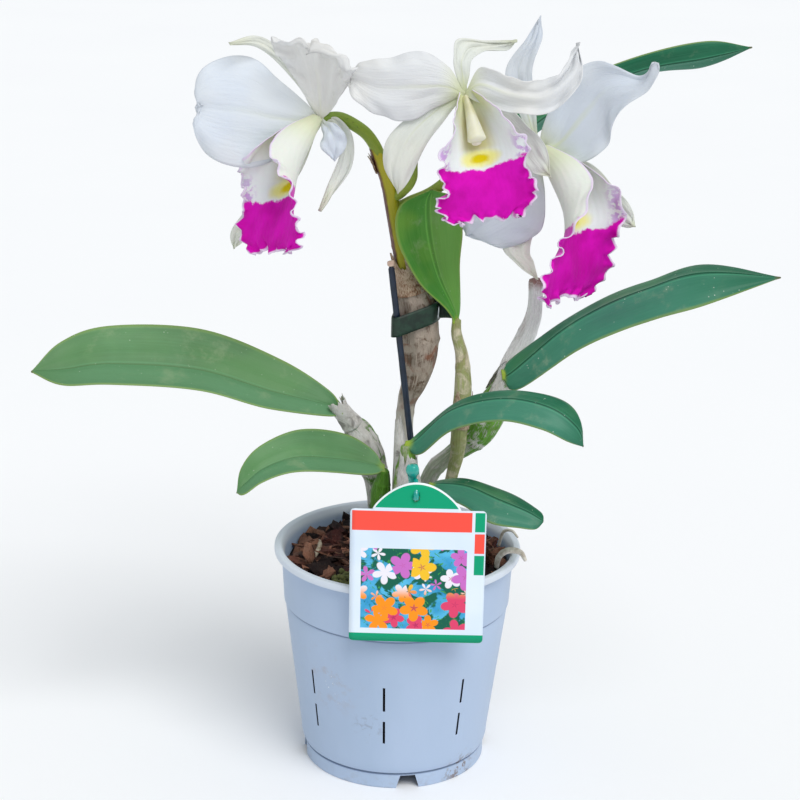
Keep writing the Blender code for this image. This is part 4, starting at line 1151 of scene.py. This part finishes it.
def build_bark():
    rng = random.Random(11)
    dark = bark_finish("bark_dark", srgb(30, 17, 18), srgb(160, 112, 90), srgb(92, 42, 38))
    edge = inner_radius(BARK_EDGE) - 0.5
    rings = 22
    low = FOOT_HEIGHT + WALL + 0.5
    top = [(edge * i / rings, BARK_CROWN) for i in range(rings + 1)]
    bm = turned(top + [(edge - 1.0, 98), (LOW_RADIUS - WALL - 1.2, LOW_HEIGHT + WALL),
                       (LOW_RADIUS - WALL - 5, low), (0, low)], 96)
    tone = bm.verts.layers.float.new("tone")
    for vert in bm.verts:
        vert[tone] = 0.15
        if vert.co.z > BED_TOP:
            vert.co.z = heap_height(vert.co.x / MM, vert.co.y / MM) * MM - BED_SINK
    piece("bark_bed", bm, (dark,), "bark", "bark_mix")

    bm = bmesh.new()
    tone = bm.verts.layers.float.new("tone")
    bmesh.ops.create_cube(bm, size=1.0)
    bmesh.ops.subdivide_edges(bm, edges=bm.edges[:], cuts=1, use_grid_fill=True)
    block_corners = bm.verts[:]
    block = block_corners + bm.edges[:] + bm.faces[:]
    for _ in range(CHIPS):
        length = rng.uniform(3.5, 12.5)
        size = (length, length * rng.uniform(0.35, 0.7), rng.uniform(1.2, 3.6))
        radius = min(CHIP_REACH * math.sqrt(rng.random()), WALL_REACH - length * 0.5)
        x, y = polar(radius, rng.uniform(0, 2 * math.pi))
        lean = rng.gauss(0, 0.5)
        z = heap_height(x, y) + size[2] * 0.15 + abs(math.sin(lean)) * size[1] * 0.25
        chip(bm, rng, block, (x, y, z), size, rng.uniform(*ANY_TURN), lean, rng.random(), tone)
    for _ in range(SLIVERS):
        length = rng.uniform(8, 19)
        x, y = polar(rng.uniform(8, 46), rng.uniform(0, 2 * math.pi))
        size = (length, rng.uniform(1.0, 2.6), rng.uniform(0.5, 1.0))
        chip(bm, rng, block, (x, y, heap_height(x, y) + rng.uniform(1.5, 4.0)), size,
             rng.uniform(*ANY_TURN), rng.gauss(0, 0.4), rng.uniform(0.4, 1.2), tone)
    for centre, size, turn, lean in BARK_CHIPS:
        chip(bm, rng, block, centre, size, turn, lean, 0.9 if centre[2] > 112.5 else 0.4, tone)
    bmesh.ops.delete(bm, geom=block_corners, context="VERTS")
    to_metres(bm)
    bmesh.ops.recalc_face_normals(bm, faces=bm.faces[:])
    chips = piece("bark_chips", bm, (dark,), "bark", *("bark_chip_%d" % i for i in range(1, 7)),
                  smooth=False)
    bevel = chips.modifiers.new("worn", "BEVEL")
    bevel.width = CHIP_WEAR
    bevel.segments = 1
    build_litter(rng)


def build_litter(rng):
    """Bits of root, twigs and a tuft of moss that lie on the bark."""
    root = plain_finish("root_pale", srgb(176, 166, 150), srgb(128, 112, 92), 0.85, 350, depth=0.0006)
    twig = plain_finish("twig_brown", srgb(110, 82, 60), srgb(70, 48, 36), 0.85, 350, depth=0.0006)
    for i in range(BITS):
        angle, spread = rng.uniform(*ANY_TURN), rng.uniform(14, 44)
        x, y = polar(spread, angle)
        heading = rng.uniform(*ANY_TURN)
        points = []
        for _ in range(5):
            reach = math.hypot(x, y)
            if reach > LITTER_REACH:
                x, y = x * LITTER_REACH / reach, y * LITTER_REACH / reach
            points.append((x, y, heap_height(x, y) + rng.uniform(1.5, 4.0)))
            heading += rng.uniform(-0.7, 0.7)
            x += 6 * math.cos(heading)
            y += 6 * math.sin(heading)
        thick = rng.uniform(0.35, 0.6) if i % 2 else rng.uniform(0.9, 1.5)
        bit = stem(points, [thick * share for share in (1, 1, 1, 0.8, 0.5)], around=10, long=30, seed=i)
        piece(("twig_%d" if i % 2 else "surface_root_%d") % i, bit, (twig if i % 2 else root,), "root")

    moss = plain_finish("moss_green", srgb(104, 108, 62), srgb(70, 76, 44), 0.95, 500, depth=0.001)
    bm = bmesh.new()
    for _ in range(MOSS_LUMPS):
        x, y = -26 + rng.gauss(0, 3.5), -41 + rng.gauss(0, 4.5)
        if math.hypot(x, y) > CHIP_REACH:
            continue
        spot = Vector((x, y, heap_height(x, y) + rng.uniform(1.5, 5.0)))
        for vert in bmesh.ops.create_icosphere(bm, subdivisions=1, radius=rng.uniform(0.8, 1.9))["verts"]:
            vert.co *= 1 + 0.35 * noise.noise(vert.co * 1.7 + spot)
            vert.co = vert.co + spot
    piece("moss_tuft", to_metres(bm), (moss,), "bark")


# ---- sheaths
# points up each one, radii, start and sweep round the stem in degrees, paper, how torn its
# upper edge is, and seed
SHEATHS = {
    "sheath_left_body": (((-16, 15, 155), (-20, 12.5, 166), (-25, 10.5, 175), (-31, 7, 184)),
                         (8.0, 7.6, 5.4, 3.3), 60, 280, "silver", 0.12, 2.0),
    "sheath_spike": (((4, 9, 244), (2, 9, 252), (0, 8, 259), (-3, 8, 266)),
                     (8.8, 6.4, 5.2, 4.4), 0, 330, "tan", 0.45, 3.0),
    "sheath_left_tip": (((-24, 10, 174), (-28, 8, 180), (-31, 6, 185), (-33, 5, 190)),
                        (5.4, 4.6, 4.4, 4.8), 10, 240, "silver", 0.3, 7.0),
    "bract_spike": (((-10.6, 2.8, 306), (-12, 2.3, 309.5), (-13.5, 1.6, 313), (-15, 0.9, 316)),
                    (3.7, 3.7, 3.8, 4.2), -60, 100, "tan", 0.45, 8.0),
    "sheath_by_stake": (((2.5, -8, 150), (0.8, -6, 161), (0.0, -3, 172), (-1, -2, 184)),
                        (4.8, 3.4, 2.6, 1.2), 0, 345, "silver", 0.15, 9.0),
    "sheath_front": (((5, -10, 146), (4, -11, 156), (4, -12, 164), (4, -12, 171)),
                     (6.6, 6.1, 4.9, 5.2), 40, 280, "silver", 0.5, 4.0),
    "sheath_right": (((48, 10, 192), (50, 9, 198), (53, 9, 204), (56, 9, 208)),
                     (6.3, 5.6, 5.0, 4.2), 40, 300, "silver", 0.35, 5.0),
    "sheath_slender": (((30, 4, 176), (30.5, 4, 183), (31, 4, 190), (31, 4, 196)),
                       (4.6, 4.7, 4.8, 4.9), 30, 300, "tan", 0.6, 6.0),
}


def build_sheaths():
    """Papery wraps round parts of the stems."""
    papers = {"silver": paper_finish("sheath_silver", srgb(226, 224, 220), srgb(186, 182, 176)),
              "tan": paper_finish("sheath_tan", srgb(206, 186, 162), srgb(134, 96, 70))}
    for name, (points, radii, start, sweep, paper, torn, seed) in SHEATHS.items():
        row = frame_along(points, radii)

        def place(side, t):
            fray = noise.noise(Vector((side * 3.1, seed, 0))) + 0.5 * noise.noise(Vector((side * 9, seed, 1)))
            share = t * (1 - torn * (0.5 + fray)) if t > 0 else 0.0
            centre, across, other, radius = row(min(max(share, 0), 1))
            angle = math.radians(start + sweep * (side + 1) / 2)
            wrinkle = 1 + 0.05 * noise.noise(Vector((side * 6, t * 5, seed)))
            return on_ring(centre, across, other, angle, radius * wrinkle)

        thicken(piece(name, surface(place, 36, 24), (papers[paper],), "dry_sheath"), 0.35, 0.6)


# ---- tie, label and peg
TIE_LOW, TIE_HIGH, TIE_LIFT, TIE_THICK = 226.0, 236.0, 0.28, 0.8
TIE_BULB = (7.5, 10.0, 10.6)         # x, y, radius
TIE_STAKE = (-1.9, -3.4, 2.6)


def build_tie():
    """Band pulled tight round two circles, its loose end and its staple."""
    finish = plain_finish("tie_green", srgb(10, 36, 26), srgb(26, 60, 44), 0.42, 260)

    def place(side, t):
        angle = math.pi * side + 0.35
        normal = Vector((math.cos(angle), math.sin(angle)))
        x, y, r = max((TIE_BULB, TIE_STAKE), key=lambda c: c[0] * normal.x + c[1] * normal.y + c[2])
        spot = Vector((x, y)) + normal * (r + TIE_THICK / 2)
        z = TIE_LOW + (TIE_HIGH - TIE_LOW) * t + TIE_LIFT * spot.x
        return Vector((spot.x, spot.y, z))

    def tail_place(side, t):
        return Vector((18.2 + 3.2 * (side + 1), 9.2 - 1.6 * side - 0.8 * side ** 2,
                       231.4 + 9.6 * t + 0.5 * side))

    for name, shape, node in (("tie_band_wrap", surface(place, 120, 6, closed=True), "tie_band"),
                              ("tie_tail_end", surface(tail_place, 12, 6), "tie_tail")):
        thicken(piece(name, shape, (finish,), "tie_plastic", node), TIE_THICK, 0.7)

    steel = plain_finish("staple_steel", srgb(196, 200, 204), srgb(160, 164, 168), 0.3, 300,
                         {"Metallic": 0.9})
    wire = stem(((17.6, 2.0, 232.5), (17.8, 1.4, 236), (18.0, 1.0, 239.5)), (0.35, 0.35, 0.35),
                around=8, long=10)
    piece("tie_staple", wire, (steel,), "tie_plastic")


LABEL_LEFT, LABEL_RIGHT, LABEL_BOTTOM, LABEL_TOP = -22.0, 42.5, 89.5, 157.5
LABEL_DOME, LABEL_DOME_FROM, LABEL_DOME_TO, DOME_POWER = 13.8, -11.5, 30.5, 0.75
LABEL_HOLE = (9.0, 163.5, 1.7)       # x, z, radius
LABEL_Y, LABEL_CARD, LABEL_CORNER = -63.9, 0.6, 2.0
LABEL_HIGH = LABEL_TOP - LABEL_BOTTOM
DOME_HALF = (LABEL_DOME_TO - LABEL_DOME_FROM) / 2
DOME_MIDDLE = (LABEL_DOME_TO + LABEL_DOME_FROM) / 2 - LABEL_LEFT
LABEL_EDGE = 0.9                     # width of the white line round the tab


def label_corner(x, z, start):
    """Quarter circle at one corner of the card, from a start in degrees."""
    cx = x + LABEL_CORNER * (1 if x == LABEL_LEFT else -1)
    cz = z + LABEL_CORNER * (1 if z == LABEL_BOTTOM else -1)
    turns = [math.radians(start + 18 * i) for i in range(6)]
    return [(cx + LABEL_CORNER * math.cos(turn), cz + LABEL_CORNER * math.sin(turn)) for turn in turns]


def label_outline():
    """Corners in (x, z), anticlockwise: rounded card with the domed tab on top."""
    middle = (LABEL_DOME_FROM + LABEL_DOME_TO) / 2
    shares = [math.cos(math.pi * i / 40) for i in range(41)]
    dome = [(middle + DOME_HALF * share, LABEL_TOP + LABEL_DOME * math.cos(math.pi / 2 * share) ** DOME_POWER)
            for share in shares]
    return [*label_corner(LABEL_LEFT, LABEL_BOTTOM, 180), *label_corner(LABEL_RIGHT, LABEL_BOTTOM, 270),
            *label_corner(LABEL_RIGHT, LABEL_TOP, 0), *dome, *label_corner(LABEL_LEFT, LABEL_TOP, 90)]


def build_label():
    bm = bmesh.new()
    bm.faces.new([bm.verts.new((x, LABEL_Y, z)) for x, z in label_outline()])
    for k in range(1, 22):
        for origin, normal in (((LABEL_LEFT + 3.0 * k, 0, 0), (1, 0, 0)),
                               ((0, 0, LABEL_BOTTOM + 3.7 * k), (0, 0, 1))):
            bmesh.ops.bisect_plane(bm, geom=bm.verts[:] + bm.edges[:] + bm.faces[:], plane_co=origin,
                                   plane_no=normal, dist=0.0001)
    uv = bm.loops.layers.uv.new("UVMap")
    for face in bm.faces:
        for loop in face.loops:
            loop[uv].uv = ((loop.vert.co.x - LABEL_LEFT) / 100, (loop.vert.co.z - LABEL_BOTTOM) / 100)
    for vert in bm.verts:
        across = (vert.co.x - LABEL_LEFT) / (LABEL_RIGHT - LABEL_LEFT) - 0.5
        vert.co.y += 1.2 * across ** 2 - 0.25
    bm.normal_update()
    if bm.faces[:][0].normal.y > 0:
        bmesh.ops.reverse_faces(bm, faces=bm.faces[:])
    back = plain_finish("label_back", srgb(232, 238, 244), srgb(222, 230, 238), 0.5)
    card = piece("label_printed", to_metres(bm), (label_finish(), back), "label_card", "label_card")
    shell = card.modifiers.new("thickness", "SOLIDIFY")
    shell.thickness = LABEL_CARD * MM
    shell.offset = 0.0
    shell.material_offset = 1
    x, z, radius = LABEL_HOLE
    cutter = bmesh.new()
    bmesh.ops.create_cone(cutter, cap_ends=True, segments=24, radius1=radius * MM, radius2=radius * MM,
                          depth=8 * MM)
    bmesh.ops.rotate(cutter, verts=cutter.verts[:], matrix=Matrix.Rotation(math.pi / 2, 3, "X"))
    bmesh.ops.translate(cutter, verts=cutter.verts[:], vec=(x * MM, LABEL_Y * MM, z * MM))
    carve(card, cutter, "peg_hole")
    card.modifiers.clear()           # the cut mesh already has the card's thickness


def build_peg():
    finish = plain_finish("peg_teal", srgb(6, 168, 154), srgb(0, 146, 136), 0.16, 120,
                          {"Coat Weight": 0.6, "Coat Roughness": 0.05, "Specular IOR Level": 0.6}
                          | translucent(0.3, (0.001, 0.004, 0.004)))
    stick = stem(((7, -51, 106), (7, -52.5, 140), (7, -54, 165), (7, -55.5, 171), (7, -56, 174),
                  (7, -56, 177.3)), (1.5, 1.5, 2.0, 2.2, 3.3, 2.4), around=24, long=60)
    piece("label_peg_stick", stick, (finish,), "peg_plastic", "label_peg")
    hook = stem(((8.6, -56.5, 170), (8.9, -61.5, 168.5), (9.0, -64.6, 165.2), (9.0, -65.0, 162.6)),
                (1.2, 1.3, 1.4, 1.2), around=16, long=24)
    piece("label_peg_hook", hook, (finish,), "peg_plastic")


# ---- studio
CAMERA_PLACE = (0.00926, -0.9455, 0.49907)
YAW, PITCH, ROLL = 0.010, 0.315, 0.020
FLOOR_HALF = 12.0
SKY, SKY_STRENGTH = (0.95, 0.98, 1.0, 1.0), 0.62
SUN, SUN_STRENGTH, SUN_SPREAD = (1.0, 0.99, 0.96), 1.75, 35
SUN_WAY = (-0.35, 0.62, -0.95)


def build_studio():
    camera_data = bpy.data.cameras.new("camera")
    camera_data.lens = 90.0
    camera_data.sensor_width = 36.0
    camera = added("camera", camera_data)
    camera.location = CAMERA_PLACE
    camera.rotation_euler = (Matrix.Rotation(YAW, 3, "Z") @ Matrix.Rotation(math.pi / 2 - PITCH, 3, "X")
                             @ Matrix.Rotation(ROLL, 3, "Z")).to_euler()
    bpy.context.scene.camera = camera

    bm = bmesh.new()
    bmesh.ops.create_grid(bm, x_segments=1, y_segments=1, size=FLOOR_HALF)
    floor = added("floor", mesh_from(bm, "floor"))
    f = Finish("floor_paper", {"Specular IOR Level": 0.1})
    white = f.mix(srgb(247, 248, 250), srgb(244, 245, 248), f.noise(3, 2))
    floor.data.materials.append(f.done(white, 0.9))

    world = bpy.data.worlds.new("studio")
    bpy.context.scene.world = world
    world.use_nodes = True
    background = world.node_tree.nodes["Background"]
    background.inputs["Color"].default_value = SKY
    background.inputs["Strength"].default_value = SKY_STRENGTH
    sun_data = bpy.data.lights.new("key", "SUN")
    sun_data.energy = SUN_STRENGTH
    sun_data.angle = math.radians(SUN_SPREAD)
    sun_data.color = SUN
    sun = added("key", sun_data)
    sun.rotation_euler = Vector(SUN_WAY).to_track_quat("-Z", "Y").to_euler()


build_studio()
build_pot()
build_bark()
build_leaves()
build_petals()
build_lips()
build_stems()
build_sheaths()
build_tie()
build_label()
build_peg()
